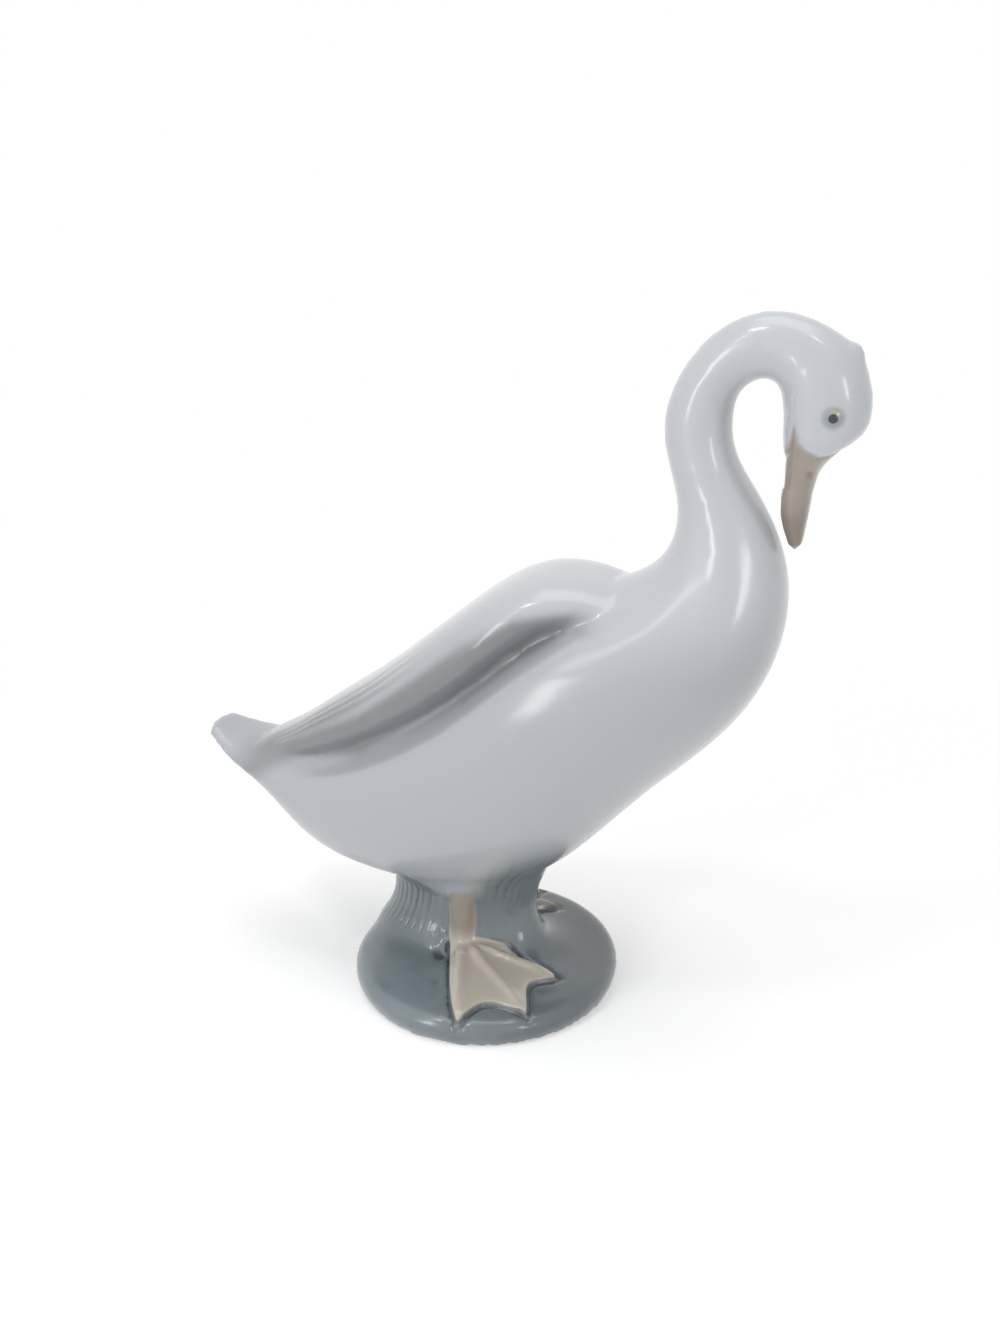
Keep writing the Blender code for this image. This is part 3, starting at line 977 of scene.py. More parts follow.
    def relief(self, points: np.ndarray) -> np.ndarray:
        """The web's crisp plate, a ridge along each toe and a crease round it all.

        Args:
            points: Points in metres.

        Returns:
            How far each point moves outwards, in metres.
        """
        radius, angle, inside = self.around(points)
        low = smooth_step(*self.plate_top, points[:, 2]) * smooth_step(*self.plate_bottom, points[:, 2])
        within = smooth_step(*self.plate_edge, inside)
        ridge = np.zeros(len(points))
        for toe_angle, length in self.toes:
            off = radius * np.sin(angle - math.radians(toe_angle))
            ahead = radius * np.cos(angle - math.radians(toe_angle))
            run = smooth_step(length * MM, self.ridge_end * length * MM, ahead)
            run = run * smooth_step(*self.ridge_start, ahead)
            ridge = np.maximum(ridge, bell(off, self.ridge_width) * run)
        crease = bell(inside + self.crease_place, self.crease_width)
        return low * (within * (self.plate + self.ridge * ridge) - self.crease * crease)

    def cover(self, points: np.ndarray) -> np.ndarray:
        """How far inside the painted leg and foot a point lies.

        Args:
            points: Points in metres.

        Returns:
            The distance in metres, below zero outside.
        """
        radius, _, inside = self.around(points)
        height = points[:, 2]
        roof = np.maximum(self.paint_on_ankle - self.paint_fall * radius, self.paint_on_web)
        on_foot = np.minimum(inside, roof - height)
        top = self.paint_slope * (self.paint_top - height)
        on_leg = np.minimum(self.paint_radius * self.leg_radius - radius, top)
        return np.minimum(np.maximum(on_foot, on_leg), height - self.paint_bottom)

    def leg(self) -> Shell:
        """The shank, wider towards the thigh, up into the belly.

        Returns:
            The closed leg: circles whose radius follows the leg's steps.
        """
        table = np.array(self.leg_steps)
        rows = natural_spline(table[:, 0], table, np.linspace(table[0, 0], table[-1, 0], 50))
        turn = turns(48)
        height, share = columns(rows)
        radius = share * self.leg_radius
        x = self.ankle[0] + radius * np.cos(turn)
        y = self.ankle[1] + radius * np.sin(turn)
        z = self.base.height + height * MM + 0.0 * turn
        return Shell.of_rings(x, y, z, 0.2 * MM)

    def hind_toe(self) -> Shell:
        """The small toe behind the ankle, turned a little outwards.

        Returns:
            The closed toe.
        """
        way = math.pi - self.side.value * self.hind_turn
        reach = self.leg_radius + self.hind_length / 2.0
        x = self.ankle[0] + reach * math.cos(way)
        y = self.ankle[1] + reach * math.sin(way)
        z = self.base.height + self.hind_radius + self.hind_lift
        return ellipsoid((x, y, z), (self.hind_length / 2.0, self.hind_radius, self.hind_radius), way)


def ellipsoid(centre: tuple, radii: tuple, way: float) -> Shell:
    """An ellipsoid whose first radius lies along a level direction.

    Ring t is -along * cos(t) from the centre, and its points lie at across * sin(t) and up * sin(t).

    Args:
        centre: Its middle.
        radii: Its three radii: along, across and up.
        way: The level direction, in radians.

    Returns:
        The closed surface.
    """
    tilt = np.linspace(0.0, math.pi, 33)[:, None]
    turn = turns(48)
    along = -radii[0] * np.cos(tilt) + 0.0 * turn
    across = radii[1] * np.sin(tilt) * np.cos(turn)
    x = centre[0] + along * math.cos(way) - across * math.sin(way)
    y = centre[1] + along * math.sin(way) + across * math.cos(way)
    z = centre[2] + radii[2] * np.sin(tilt) * np.sin(turn)
    return Shell.of_rings(x, y, z)


@dataclass(frozen=True)
class Crest:
    """The short tuft of feathers on the nape."""

    x: float = 82.2 * MM
    y: float = 4.1 * MM
    z: float = 169.2 * MM
    radius: float = 3.6 * MM
    narrowness: float = 0.8
    point_fore: float = 1.4 * MM
    point_rise: float = 2.4 * MM
    point_height: float = 0.5 * MM
    point_width: float = 1.9 * MM

    def shell(self) -> Shell:
        """A small knob, narrower across than along."""
        radii = (self.radius, self.narrowness * self.radius, self.radius)
        return ellipsoid((self.x, self.y, self.z), radii, 0.0)

    def relief(self, points: np.ndarray) -> np.ndarray:
        """The tuft's point, drawn up and back from the knob: height * bell(distance)."""
        gap = points - np.array((self.x + self.point_fore, self.y, self.z + self.point_rise))
        return self.point_height * bell(np.linalg.norm(gap, axis=1), self.point_width)


@dataclass(frozen=True)
class Face:
    """Eyes, nostrils and the edge of the feathers round the beak, alike on both sides, in millimetres.

    A ring round the eye, and a fold along the feathers' edge, gives its place, width and height.
    """

    eye: tuple = (80.9, 157.7)
    glint: tuple = (81.3, 158.7)
    nostril: tuple = (76.4, 144.3)
    edge_x: tuple = (68.0, 69.5, 71.0, 72.4, 73.0, 73.7, 75.6, 78.5, 80.0, 82.1, 86.0, 90.0)
    edge_z: tuple = (145.0, 146.5, 150.0, 155.2, 153.5, 151.5, 150.0, 149.0, 149.2, 149.9, 151.5, 153.0)
    chest_z: tuple = (120.0, 126.0, 128.0, 133.0, 140.0, 150.0)
    chest_x: tuple = (74.2, 71.6, 70.9, 68.7, 66.4, 64.0)
    beak_zone: Zone = Zone(z_from=124.0)
    eye_zone: Zone = Zone(x_from=68.0, z_from=138.0)
    relief_zone: Zone = Zone(x_from=69.0, z_from=140.0)
    lean_heights: tuple = (142.0, 131.0)
    eye_rings: tuple = ((0.0, 4.0, -0.45), (0.0, 1.5, 0.4), (1.9, 0.5, -0.12))
    step_depth: float = -0.3
    step_edge: tuple = (-0.3, 0.5)
    step_end: tuple = (9.0, 2.0)
    folds: tuple = ((0.3, 0.5, -0.2), (-2.0, 1.6, 0.25))
    nostril_depth: float = -0.35
    nostril_radii: tuple = (0.6, 1.3)

    def below_edge(self, points: np.ndarray) -> np.ndarray:
        """How far below the feathers' edge a point lies: (edge - z) / sqrt(1 + slope^2).

        Args:
            points: Points in metres.

        Returns:
            The distance in millimetres, below zero above the edge.
        """
        x, _, z = points.T / MM
        before, edge, after = (np.interp(x + step, self.edge_x, self.edge_z) for step in (-0.2, 0.0, 0.2))
        slope = (after - before) / 0.4
        return (edge - z) / np.sqrt(1.0 + slope ** 2)

    def on_head(self, points: np.ndarray) -> np.ndarray:
        """Which points lie on the head's side of the narrow gap between beak and chest."""
        x, _, z = points.T / MM
        return (x - np.interp(z, self.chest_z, self.chest_x) > 0.0) & self.beak_zone.holds(points)

    def beak(self, points: np.ndarray) -> np.ndarray:
        """How far inside the painted beak a point lies, in millimetres; negative on the chest."""
        return np.where(self.on_head(points), self.below_edge(points), -9.0)

    def lean(self, points: np.ndarray, away: float) -> np.ndarray:
        """Lean the beak away from the chest, or back by the same formula with the sign turned.

        A point of the beak moves along x by away * smooth step of its height below the face.

        Args:
            points: Points in metres.
            away: How far the tip moves, in metres.

        Returns:
            The moved points.
        """
        moved = points.copy()
        high, low = self.lean_heights
        moved[:, 0] += away * self.on_head(points) * smooth_step(high * MM, low * MM, points[:, 2])
        return moved

    def eye_gap(self, points: np.ndarray, place: tuple) -> np.ndarray:
        """Distance from a place on the face, seen from the side, in millimetres; large off the head."""
        x, _, z = points.T / MM
        return np.where(self.eye_zone.holds(points), np.hypot(x - place[0], z - place[1]), 99.0)

    def relief(self, points: np.ndarray) -> np.ndarray:
        """A socket round a slightly domed eye, a step at the feathers' edge and a nostril's dent.

        Args:
            points: Points in metres.

        Returns:
            How far each point moves outwards, in metres.
        """
        gap = self.eye_gap(points, self.eye)
        below = self.below_edge(points)
        raised = self.step_depth * smooth_step(*self.step_edge, below) * smooth_step(*self.step_end, below)
        for distance, rings in ((gap, self.eye_rings), (below, self.folds)):
            for place, width, height in rings:
                raised = raised + height * bell(distance - place, width)
        dent = self.nostril_depth * bell(self.nostril_gap(points, self.nostril_radii), 1.0)
        return MM * self.relief_zone.holds(points) * (raised + dent)

    def nostril_gap(self, points: np.ndarray, radii: tuple) -> np.ndarray:
        """Distance from the nostril as an upright oval sees it, one on the oval's edge."""
        x, _, z = points.T / MM
        return np.hypot((x - self.nostril[0]) / radii[0], (z - self.nostril[1]) / radii[1])


# Finishes


def add_node(tree: bpy.types.NodeTree, kind: str, settings: dict | None = None, **inputs) -> bpy.types.Node:
    """Add one shader node.

    Args:
        tree: The node tree.
        kind: The node's type.
        settings: Properties of the node itself.
        inputs: Sockets by name, with underscores for spaces; a value, or a socket to link from.

    Returns:
        The node.
    """
    node = tree.nodes.new(kind)
    for name, value in (settings or {}).items():
        setattr(node, name, value)
    for name, value in inputs.items():
        socket = node.inputs[int(name[1:])] if name[0] == "_" else node.inputs[name.replace("_", " ")]
        if isinstance(value, bpy.types.NodeSocket):
            tree.links.new(value, socket)
        else:
            socket.default_value = value
    return node


def joined(tree: bpy.types.NodeTree, operation: str, first: object, second: object) -> bpy.types.NodeSocket:
    """Two numbers, or sockets that give them, under an operation such as MULTIPLY or MAXIMUM."""
    return add_node(tree, "ShaderNodeMath", {"operation": operation}, _0=first, _1=second).outputs["Value"]


def ramp(tree: bpy.types.NodeTree, value: bpy.types.NodeSocket, low: float, high: float,
         top: float = 1.0) -> bpy.types.NodeSocket:
    """A smooth step in a material: top * (3t^2 - 2t^3) of the share t between low and high.

    Args:
        tree: The node tree.
        value: The socket to read.
        low: Where the step starts.
        high: Where the step ends; it may lie below low for a falling step.
        top: What it rises to.

    Returns:
        The socket that gives the step.
    """
    node = add_node(tree, "ShaderNodeMapRange", {"interpolation_type": "SMOOTHSTEP"},
                    Value=value, From_Min=low, From_Max=high, To_Max=top)
    return node.outputs["Result"]


def seen_as_background(tree: bpy.types.NodeTree) -> bpy.types.NodeSocket:
    """Say whether a ray comes from the camera, a reflection or a view through glass.

    Args:
        tree: The node tree.

    Returns:
        One for such a ray and zero for the light that falls on the object.
    """
    path = add_node(tree, "ShaderNodeLightPath")
    seen = path.outputs["Is Camera Ray"]
    for kind in ("Is Glossy Ray", "Is Transmission Ray"):
        seen = joined(tree, "MAXIMUM", seen, path.outputs[kind])
    return seen


@dataclass(frozen=True)
class GlazedPorcelain:
    """Slip-cast porcelain painted under a clear gloss glaze, with shade painted into the colour.

    To the eye it is an even colour with soft-edged window highlights, a little wavy where the glaze ran.
    """

    white: str = "#D5D9DF"
    shade: str = "#8E9296"
    stone: str = "#828D94"
    stone_dark: str = "#3C444A"
    # painted shade for the creases of the stone
    crease_shade: str = "#3C454C"
    peach: str = "#D2C8B8"
    # painted shade on the skin, on the far foot's web and up the leg under the belly
    skin_shade: str = "#5E5142"
    beak: str = "#ACA094"
    beak_tip: str = "#918375"
    pupil: str = "#262D31"
    glint: str = "#B6BBA4"
    halo: str = "#A3ABB4"
    pupil_radius: float = 1.05
    roughness: float = 0.45
    coat_roughness: float = 0.17
    index: float = 1.5
    cloud_scale: float = 1.0 / (9.0 * MM)
    cloud_range: tuple = (0.4, 0.68)
    cloud_share: float = 0.16
    ripple_scale: float = 1.0 / (11.0 * MM)
    ripple_depth: float = 0.12 * MM

    def material(self) -> bpy.types.Material:
        """Build the glaze and the paint under it.

        Returns:
            The material.
        """
        material = bpy.data.materials.new("glazed_porcelain")
        material.use_nodes = True
        tree = material.node_tree
        shader = tree.nodes["Principled BSDF"]
        settings = {"IOR": self.index, "Roughness": self.roughness, "Coat Weight": 1.0,
                    "Coat Roughness": self.coat_roughness, "Coat IOR": self.index}
        for name, value in settings.items():
            shader.inputs[name].default_value = value
        place = add_node(tree, "ShaderNodeTexCoord").outputs["Object"]
        tree.links.new(self.colour(tree, place), shader.inputs["Base Color"])
        ripple = add_node(tree, "ShaderNodeTexNoise", None, Vector=place, Scale=self.ripple_scale, Detail=2.0)
        bump = add_node(tree, "ShaderNodeBump", None, Height=ripple.outputs["Fac"], Strength=1.0,
                        Distance=self.ripple_depth)
        tree.links.new(bump.outputs["Normal"], shader.inputs["Coat Normal"])
        return material

    def colour(self, tree: bpy.types.NodeTree, place: bpy.types.NodeSocket) -> bpy.types.NodeSocket:
        """Lay the underglaze colours and painted shade over each other, from the base's stone to the eye.

        Args:
            tree: The node tree.
            place: The socket that gives the place on the object.

        Returns:
            The socket that gives the colour.
        """
        def field(name: str, low: float = 0.0, high: float = 1.0) -> bpy.types.NodeSocket:
            """A smooth step from low to high of the value stored at each point under a name."""
            stored = add_node(tree, "ShaderNodeAttribute", {"attribute_name": name})
            return ramp(tree, stored.outputs["Fac"], low, high)

        def mix(share: bpy.types.NodeSocket, below: object, above: object) -> bpy.types.NodeSocket:
            """Blend two colours, hex or socket, by a share."""
            below, above = (linear(side) if isinstance(side, str) else side for side in (below, above))
            node = add_node(tree, "ShaderNodeMix", {"data_type": "RGBA"}, _0=share, _6=below, _7=above)
            return node.outputs[2]

        cloud = add_node(tree, "ShaderNodeTexNoise", None, Vector=place, Scale=self.cloud_scale, Detail=4.0)
        mottle = ramp(tree, cloud.outputs["Fac"], *self.cloud_range, top=self.cloud_share)
        on_stone = field("stone")
        stone = mix(field("stone_dark"), self.stone, self.stone_dark)
        stone = mix(mottle, stone, self.stone_dark)
        # painted shade: grey over the white where shade falls under the wings, in the hook, on the rear and
        # in grooves
        colour = mix(field("shade"), self.white, self.shade)
        colour = mix(on_stone, colour, stone)
        # painted shade darkens the creases of the stone
        colour = mix(joined(tree, "MULTIPLY", field("crease_shade", 0.02, 0.16), on_stone), colour, self.crease_shade)
        # painted shade on the far foot's web and on the leg under the belly
        skin = mix(field("skin_shade"), self.peach, self.skin_shade)
        colour = mix(field("skin", -0.2, 0.25), colour, skin)
        beak = mix(field("beak_tip"), self.beak, self.beak_tip)
        colour = mix(field("beak", -0.5, 0.8), colour, beak)
        colour = mix(field("nostril", 1.3, 0.2), colour, self.beak_tip)
        colour = mix(field("eye", 3.2, 1.4), colour, self.halo)
        colour = mix(field("glint", 1.45, 1.05), colour, self.glint)
        return mix(field("eye", self.pupil_radius + 0.15, self.pupil_radius - 0.15), colour, self.pupil)


@dataclass(frozen=True)
class FloorFinish:
    """A plain white floor that keeps the object's shadow and fades to pure white away from it."""

    colour: str = "#FAFAFA"
    near: float = 0.06
    far: float = 0.30
    glow: float = 0.38

    def material(self) -> bpy.types.Material:
        """Matt under the lamps, with a glow where it is seen as background, and white further out.

        Returns:
            The material.
        """
        material = bpy.data.materials.new("pale_floor")
        material.use_nodes = True
        tree = material.node_tree
        tree.nodes.clear()
        place = add_node(tree, "ShaderNodeTexCoord").outputs["Object"]
        away = add_node(tree, "ShaderNodeVectorMath", {"operation": "LENGTH"}, _0=place).outputs["Value"]
        seen = seen_as_background(tree)
        plain = joined(tree, "MULTIPLY", ramp(tree, away, self.near, self.far), seen)
        lift = joined(tree, "MULTIPLY", seen, self.glow)
        matt = add_node(tree, "ShaderNodeBsdfDiffuse", Color=linear(self.colour))
        glow, white = (add_node(tree, "ShaderNodeEmission", Color=linear("#FFFFFF"), Strength=strength)
                       for strength in (lift, 1.0))
        near = add_node(tree, "ShaderNodeAddShader", _0=matt.outputs["BSDF"], _1=glow.outputs["Emission"])
        blend = add_node(tree, "ShaderNodeMixShader", _0=plain, _1=near.outputs["Shader"],
                         _2=white.outputs["Emission"])
        output = add_node(tree, "ShaderNodeOutputMaterial")
        tree.links.new(blend.outputs["Shader"], output.inputs["Surface"])
        return material


# The figurine


@dataclass(frozen=True)
class UnderglazeAndShade:
    """Where each colour lies under the glaze, and where shade is painted into it. Lengths are millimetres.

    A fade gives where it starts and where it is full; a spot gives its x, z or its x, y, and its width.
    The upper edge of the stone colour, the ridge of the flank and the lip of the wing are curves
    over x.
    """

    wings: Wings
    feet: tuple
    face: Face
    edge_x: tuple = (-30.0, -18.0, -16.0, -11.0, -4.6, 0.5, 4.0, 8.4, 13.0, 20.0)
    edge_z: tuple = (37.0, 34.0, 27.5, 23.5, 24.5, 28.0, 33.0, 39.0, 43.0, 44.0)
    edge_softness: tuple = ((-10.0, 8.0), (4.0, 9.0))
    scoop_x: tuple = (-62.0, -47.0, -30.0, -1.0, 12.0, 25.0)
    ridge_z: tuple = (57.8, 59.6, 64.8, 84.7, 95.6, 104.6)
    lip_z: tuple = (60.5, 65.2, 75.0, 98.0, 106.8, 109.5)
    scoop_low: tuple = (-0.2, 0.35)
    scoop_high: tuple = (1.25, 0.75)
    scoop_front: tuple = (36.0, 18.0)
    scoop_back: tuple = (-66.0, -40.0)
    scoop_off_middle: tuple = (11.0, 15.0)
    middle_y: float = 4.1
    hook_spot: tuple = (63.0, 158.0, 6.0)
    hook_radius: float = 4.0
    rear_front: tuple = (-18.0, -52.0)
    rear_back: tuple = (-74.0, -62.0)
    rear_line: tuple = (88.0, 0.62)
    rear_above: tuple = (0.0, 6.0)
    body_fade: tuple = (125.0, 95.0)
    # strengths of the painted shade: under the wings' lips, in the neck's hook, on the wings' rear, low on
    # the body and in the feather grooves
    scoop_grey: float = 0.78
    hook_grey: float = 0.3
    rear_grey: float = 0.36
    body_grey: float = 0.37
    groove_grey: float = 0.6
    # strength of the painted shade in creases
    crease_shade_gain: float = 4.0
    # where painted shade lies on the far foot's web, and where it rises up the leg
    far_web_shade: tuple = (9.0, 28.0, 7.0)
    leg_shade_fade: tuple = (11.0, 17.0)
    tip_fade: tuple = (141.0, 128.0)
    nostril_radii: tuple = (0.7, 1.3)

    def paint(self, mesh: bpy.types.Mesh) -> None:
        """Store where each colour lies, the painted shade among them: shares from 0 to 1, or distances in
        millimetres.

        Args:
            mesh: The casting's mesh.
        """
        points = read_points(mesh)
        x, y, z = points.T / MM
        grooves = -self.wings.relief(points) / MM
        # the far foot's web, where shade is painted on the skin
        web = bell(np.hypot(x - self.far_web_shade[0], y - self.far_web_shade[1]), self.far_web_shade[2])
        fields = {
            "stone": self.stone(x, z),
            "stone_dark": self.stone_dark(x, y, z),
            # painted shade, together with grey painted into the feather grooves
            "shade": np.clip(self.painted_shade(x, y, z) + self.groove_grey * grooves, 0.0, 1.0),
            # painted shade in the creases, laid on the stone
            "crease_shade": self.crease_shade(mesh, points),
            "skin": np.max([foot.cover(points) for foot in self.feet], axis=0) / MM,
            # painted shade on the skin of the far foot and the leg under the belly
            "skin_shade": np.maximum(web * smooth_step(2.0, 6.0, y), 0.45 * smooth_step(*self.leg_shade_fade, z)),
            "beak": self.face.beak(points),
            "beak_tip": smooth_step(*self.tip_fade, z),
            "eye": self.face.eye_gap(points, self.face.eye),
            "glint": self.face.eye_gap(points, self.face.glint),
            "nostril": self.face.nostril_gap(points, self.nostril_radii),
        }
        for name, values in fields.items():
            write_field(mesh, name, values)

    def stone(self, x: np.ndarray, z: np.ndarray) -> np.ndarray:
        """Share of stone colour below its upper edge, which is softer towards the breast."""
        above = (z - np.interp(x, self.edge_x, self.edge_z)) / np.interp(x, *self.edge_softness)
        return smooth_step(1.0, -1.0, above)

    def stone_dark(self, x: np.ndarray, y: np.ndarray, z: np.ndarray) -> np.ndarray:
        """Share of the darker stone colour, on the base's far and forward parts."""
        dark = 0.5 * smooth_step(-5.0, 30.0, x) + 0.8 * smooth_step(2.0, 30.0, y)
        return np.clip(dark, 0.0, 1.0) * smooth_step(22.0, 10.0, z)

    def crease_shade(self, mesh: bpy.types.Mesh, points: np.ndarray) -> np.ndarray:
        """Share of painted shade in the stone's creases, a dark colour laid where the surface is hollow, most
        of all low down.

        Args:
            mesh: The casting's mesh.
            points: Its points in metres.

        Returns:
            Gain * hollowness in millimetres, clear of the underside.
        """
        z = points[:, 2] / MM
        hollowness = Smoother(mesh).hollowness(points, read_normals(mesh), 2) / MM
        low = smooth_step(0.5, 2.0, z) * (0.3 + 0.7 * smooth_step(16.0, 12.0, z))
        return np.clip(hollowness * self.crease_shade_gain, 0.0, 1.0) * low

    def painted_shade(self, x: np.ndarray, y: np.ndarray, z: np.ndarray) -> np.ndarray:
        """Painted shade: grey laid on the white where shade falls, most of all in the scoops under the wings'
        lips, also in the neck's hook, on the wings' rear and low on the body.

        The scoop is the share of the way up from the flank's ridge to the wing's lip.

        Args:
            x: Place along the bird, in millimetres.
            y: Place across it.
            z: Height.

        Returns:
            Share of painted shade at each point.
        """
        ridge, lip = (np.interp(x, self.scoop_x, line) for line in (self.ridge_z, self.lip_z))
        scoop = (z - ridge) / (lip - ridge)
        under = smooth_step(*self.scoop_low, scoop) * smooth_step(*self.scoop_high, scoop)
        under *= smooth_step(*self.scoop_front, x) * smooth_step(*self.scoop_back, x)
        under *= smooth_step(*self.scoop_off_middle, np.abs(y - self.middle_y))
        hook_x, hook_z, hook_width = self.hook_spot
        hook = bell(np.hypot(x - hook_x, z - hook_z) - self.hook_radius, hook_width)
        line_z, line_slope = self.rear_line
        rear = smooth_step(*self.rear_front, x) * smooth_step(*self.rear_back, x)
        rear *= smooth_step(*self.rear_above, z - line_z - line_slope * x)
        body = smooth_step(*self.body_fade, z)
        white_parts = self.hook_grey * hook + self.rear_grey * rear + self.body_grey * body
        return np.clip(self.scoop_grey * under + white_parts, 0.0, 1.0)


@dataclass
class Figurine:
    """The whole casting: fused, softened, carved, cut hollow and painted.

    The fill and the wear of the glaze give the body's share and what the neck adds to it. The zones
    are where the skin is made finer, together with the feather line (a height and a slope), the reach
    of the grass (x, y and radius) and the rear grass (spread in degrees, heights and shares of the
    tuft's oval). The runs are the heights between which the glaze fills the grass's roots most.
    """

    base: Base
    bird: Bird
    wings: Wings
    tuft: Tuft
    feet: tuple
    crest: Crest
    face: Face
    finish: GlazedPorcelain
    voxel: float = 1.31 * MM
    beak_lean: float = 2.2 * MM
    glaze_rounds: int = 6
    root_rounds: int = 110
    fill: tuple = (0.45, 0.35)
    wear: tuple = (0.12, 0.28)
    neck_root: tuple = (22.0 * MM, 36.0 * MM)
    flat_below: float = 0.8 * MM
    head_zone: Zone = Zone(x_from=66.0)
    feather_zone: Zone = Zone(x_to=-14.0, z_from=56.0)
    feather_line: tuple = (96.0, 0.62)
    grass_zone: Zone = Zone(z_from=9.0, z_to=44.0)
    grass_reach: tuple = (-4.0, 4.0, 30.0)
    face_zone: Zone = Zone(x_from=70.0, z_from=141.0, z_to=163.0)
    foot_zone: Zone = Zone(z_from=4.0, z_to=12.5)
    foot_margin: float = -2.2 * MM
    rear_grass: tuple = (27.0, 4.0, 23.0, 0.85, 1.3)
    base_run: tuple = ((-2.0, 0.0), (11.0, 6.0))
    belly_run: tuple = ((16.0, 21.0), (46.0, 38.0))
    run_reach: tuple = (1.9, 1.5)
    clear_of_foot: tuple = (0.5 * MM, -1.5 * MM)
    clear_of_ankle: tuple = (6.5 * MM, 10.0 * MM)
    hollow_voxel: float = 2.4 * MM
    vent_radius: float = 4.0 * MM
    vent_place: tuple = (-8.0 * MM, 4.0 * MM)
    vent_heights: tuple = (-1.0 * MM, 5.5 * MM)

    def build(self) -> bpy.types.Object:
        """Make the casting and dress it.

        Returns:
            The finished object, riding on the part's body.
        """
        parts = (self.bird, self.wings, self.base, self.tuft, self.crest)
        shells = [part.shell() for part in parts]
        for foot in self.feet:
            shells += [foot.web(), foot.leg(), foot.hind_toe()]
        whole = join(shells)
        whole.points = self.face.lean(whole.points, self.beak_lean)
        piece = mesh_object("porcelain_goose", whole)
        fuse(piece, self.voxel)
        LOG.info("fused skin: %d points", len(piece.data.vertices))
        self.soften(piece.data)
        for chosen in (self.detailed, self.finest):
            refine(piece, chosen(read_points(piece.data)))
            self.even(piece.data, 3)
        self.carve(piece.data)
        self.cut_hollow(piece)
        UnderglazeAndShade(self.wings, self.feet, self.face).paint(piece.data)
        piece.data.shade_smooth()
        piece.data.materials.clear()
        piece.data.materials.append(self.finish.material())
        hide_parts(NODE)
        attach(piece, "root")
        return piece

    def detailed(self, points: np.ndarray) -> np.ndarray:
        """The points near fine forms: head, wing feathers, grass and feet.

        Args:
            points: Points in metres.

        Returns:
            Which of them are near.
        """
        x, y, z = points.T / MM
        height, slope = self.feather_line
        middle_x, middle_y, radius = self.grass_reach
        head = self.head_zone.holds(points) & self.face.on_head(points)
        feathers = self.feather_zone.holds(points) & (z > height + slope * x)
        grass = self.grass_zone.holds(points) & (np.hypot(x - middle_x, y - middle_y) < radius)
        return head | feathers | grass | self.finest(points)

    def finest(self, points: np.ndarray) -> np.ndarray:
        """The points on the face, the beak's root, the feet and the rear of the grass.

        Args:
            points: Points in metres.

        Returns:
            Which of them are there.
        """
        inside = np.max([foot.around(points)[2] for foot in self.feet], axis=0)
        feet = (inside > self.foot_margin) & self.foot_zone.holds(points)
        height, turn, oval = self.tuft.seen_from_above(points)
        spread, low, high, inner, outer = self.rear_grass
        rear = np.abs(np.abs(np.degrees(turn)) - self.tuft.rear_blades[0]) < spread
        grass = rear & (height > low) & (height < high) & (oval > inner) & (oval < outer)
        return self.face_zone.holds(points) | feet | grass

    def even(self, mesh: bpy.types.Mesh, rounds: int) -> None:
        """Take the steps out of a mesh, with its underside kept flat."""
        write_points(mesh, self.rest(Smoother(mesh).even(read_points(mesh), rounds)))

    def rest(self, points: np.ndarray) -> np.ndarray:
        """Press the lowest skin flat on the floor: z times its smooth step up to flat_below."""
        height = np.clip(points[:, 2], 0.0, None)
        return np.column_stack((points[:, :2], height * smooth_step(0.0, self.flat_below, height)))

    def soften(self, mesh: bpy.types.Mesh) -> None:
        """Take out the fused skin's steps and let the glaze fill its creases.

        Args:
            mesh: The fused mesh, whose beak still leans away from the chest.
        """
        self.even(mesh, 4)
        smoother = Smoother(mesh)
        points = read_points(mesh)
        neck = smooth_step(*self.neck_root, points[:, 0])
        fill, wear = (body + extra * neck for body, extra in (self.fill, self.wear))
        points = smoother.glaze(points, read_normals(mesh), self.glaze_rounds, fill, wear)
        write_points(mesh, points)
        root = self.root(points)
        points = smoother.glaze(points, read_normals(mesh), self.root_rounds, root, 0.0 * root)
        write_points(mesh, self.rest(self.face.lean(points, -self.beak_lean)))

    def root(self, points: np.ndarray) -> np.ndarray:
        """Find the soft runs from grass to base and to belly, clear of the feet.

        Args:
            points: Points in metres.

        Returns:
            Share of each point in them.
        """
        height, _, oval = self.tuft.seen_from_above(points)
        low, high = (smooth_step(*top, height) * smooth_step(*bottom, height)
                     for bottom, top in (self.base_run, self.belly_run))
        clear = np.ones(len(points))
        for foot in self.feet:
            radius, _, inside = foot.around(points)
            clear *= smooth_step(*self.clear_of_foot, inside) * smooth_step(*self.clear_of_ankle, radius)
        return smooth_step(*self.run_reach, oval) * (low * clear + high)

    def carve(self, mesh: bpy.types.Mesh) -> None:
        """Move each point along its outward direction by all the reliefs together.

        Args:
            mesh: The softened mesh.
        """
        points = read_points(mesh)
        carved = (self.wings, self.tuft, self.face, self.crest, *self.feet)
        relief = sum(part.relief(points) for part in carved)
        write_points(mesh, points + read_normals(mesh) * relief[:, None])

    def cut_hollow(self, piece: bpy.types.Object) -> None:
        """Cut the casting's inner space, and then the round vent hole through its floor.

        Args:
            piece: The carved casting.
        """
        space = mesh_object("inner_space", join([self.bird.hollow(), self.tuft.hollow()]))
        fuse(space, self.hollow_voxel)
        cut_away(piece, space)
        turn = turns(48)
        radii = np.array((0.0, 1.0, 1.0, 0.0))[:, None] * self.vent_radius
        heights = np.repeat(self.vent_heights, 2)[:, None] + 0.0 * turn
        x = self.vent_place[0] + radii * np.cos(turn)
        y = self.vent_place[1] + radii * np.sin(turn)
        vent = mesh_object("vent", Shell.of_rings(x, y, heights))
        weld(vent)
        cut_away(piece, vent)


# The stage


def direction(azimuth: float, elevation: float) -> Vector:
    """The level turn to the bird's right and the rise above the floor, in radians, as a direction."""
    level = math.cos(elevation)
    return Vector((math.sin(azimuth) * level, -math.cos(azimuth) * level, math.sin(elevation)))


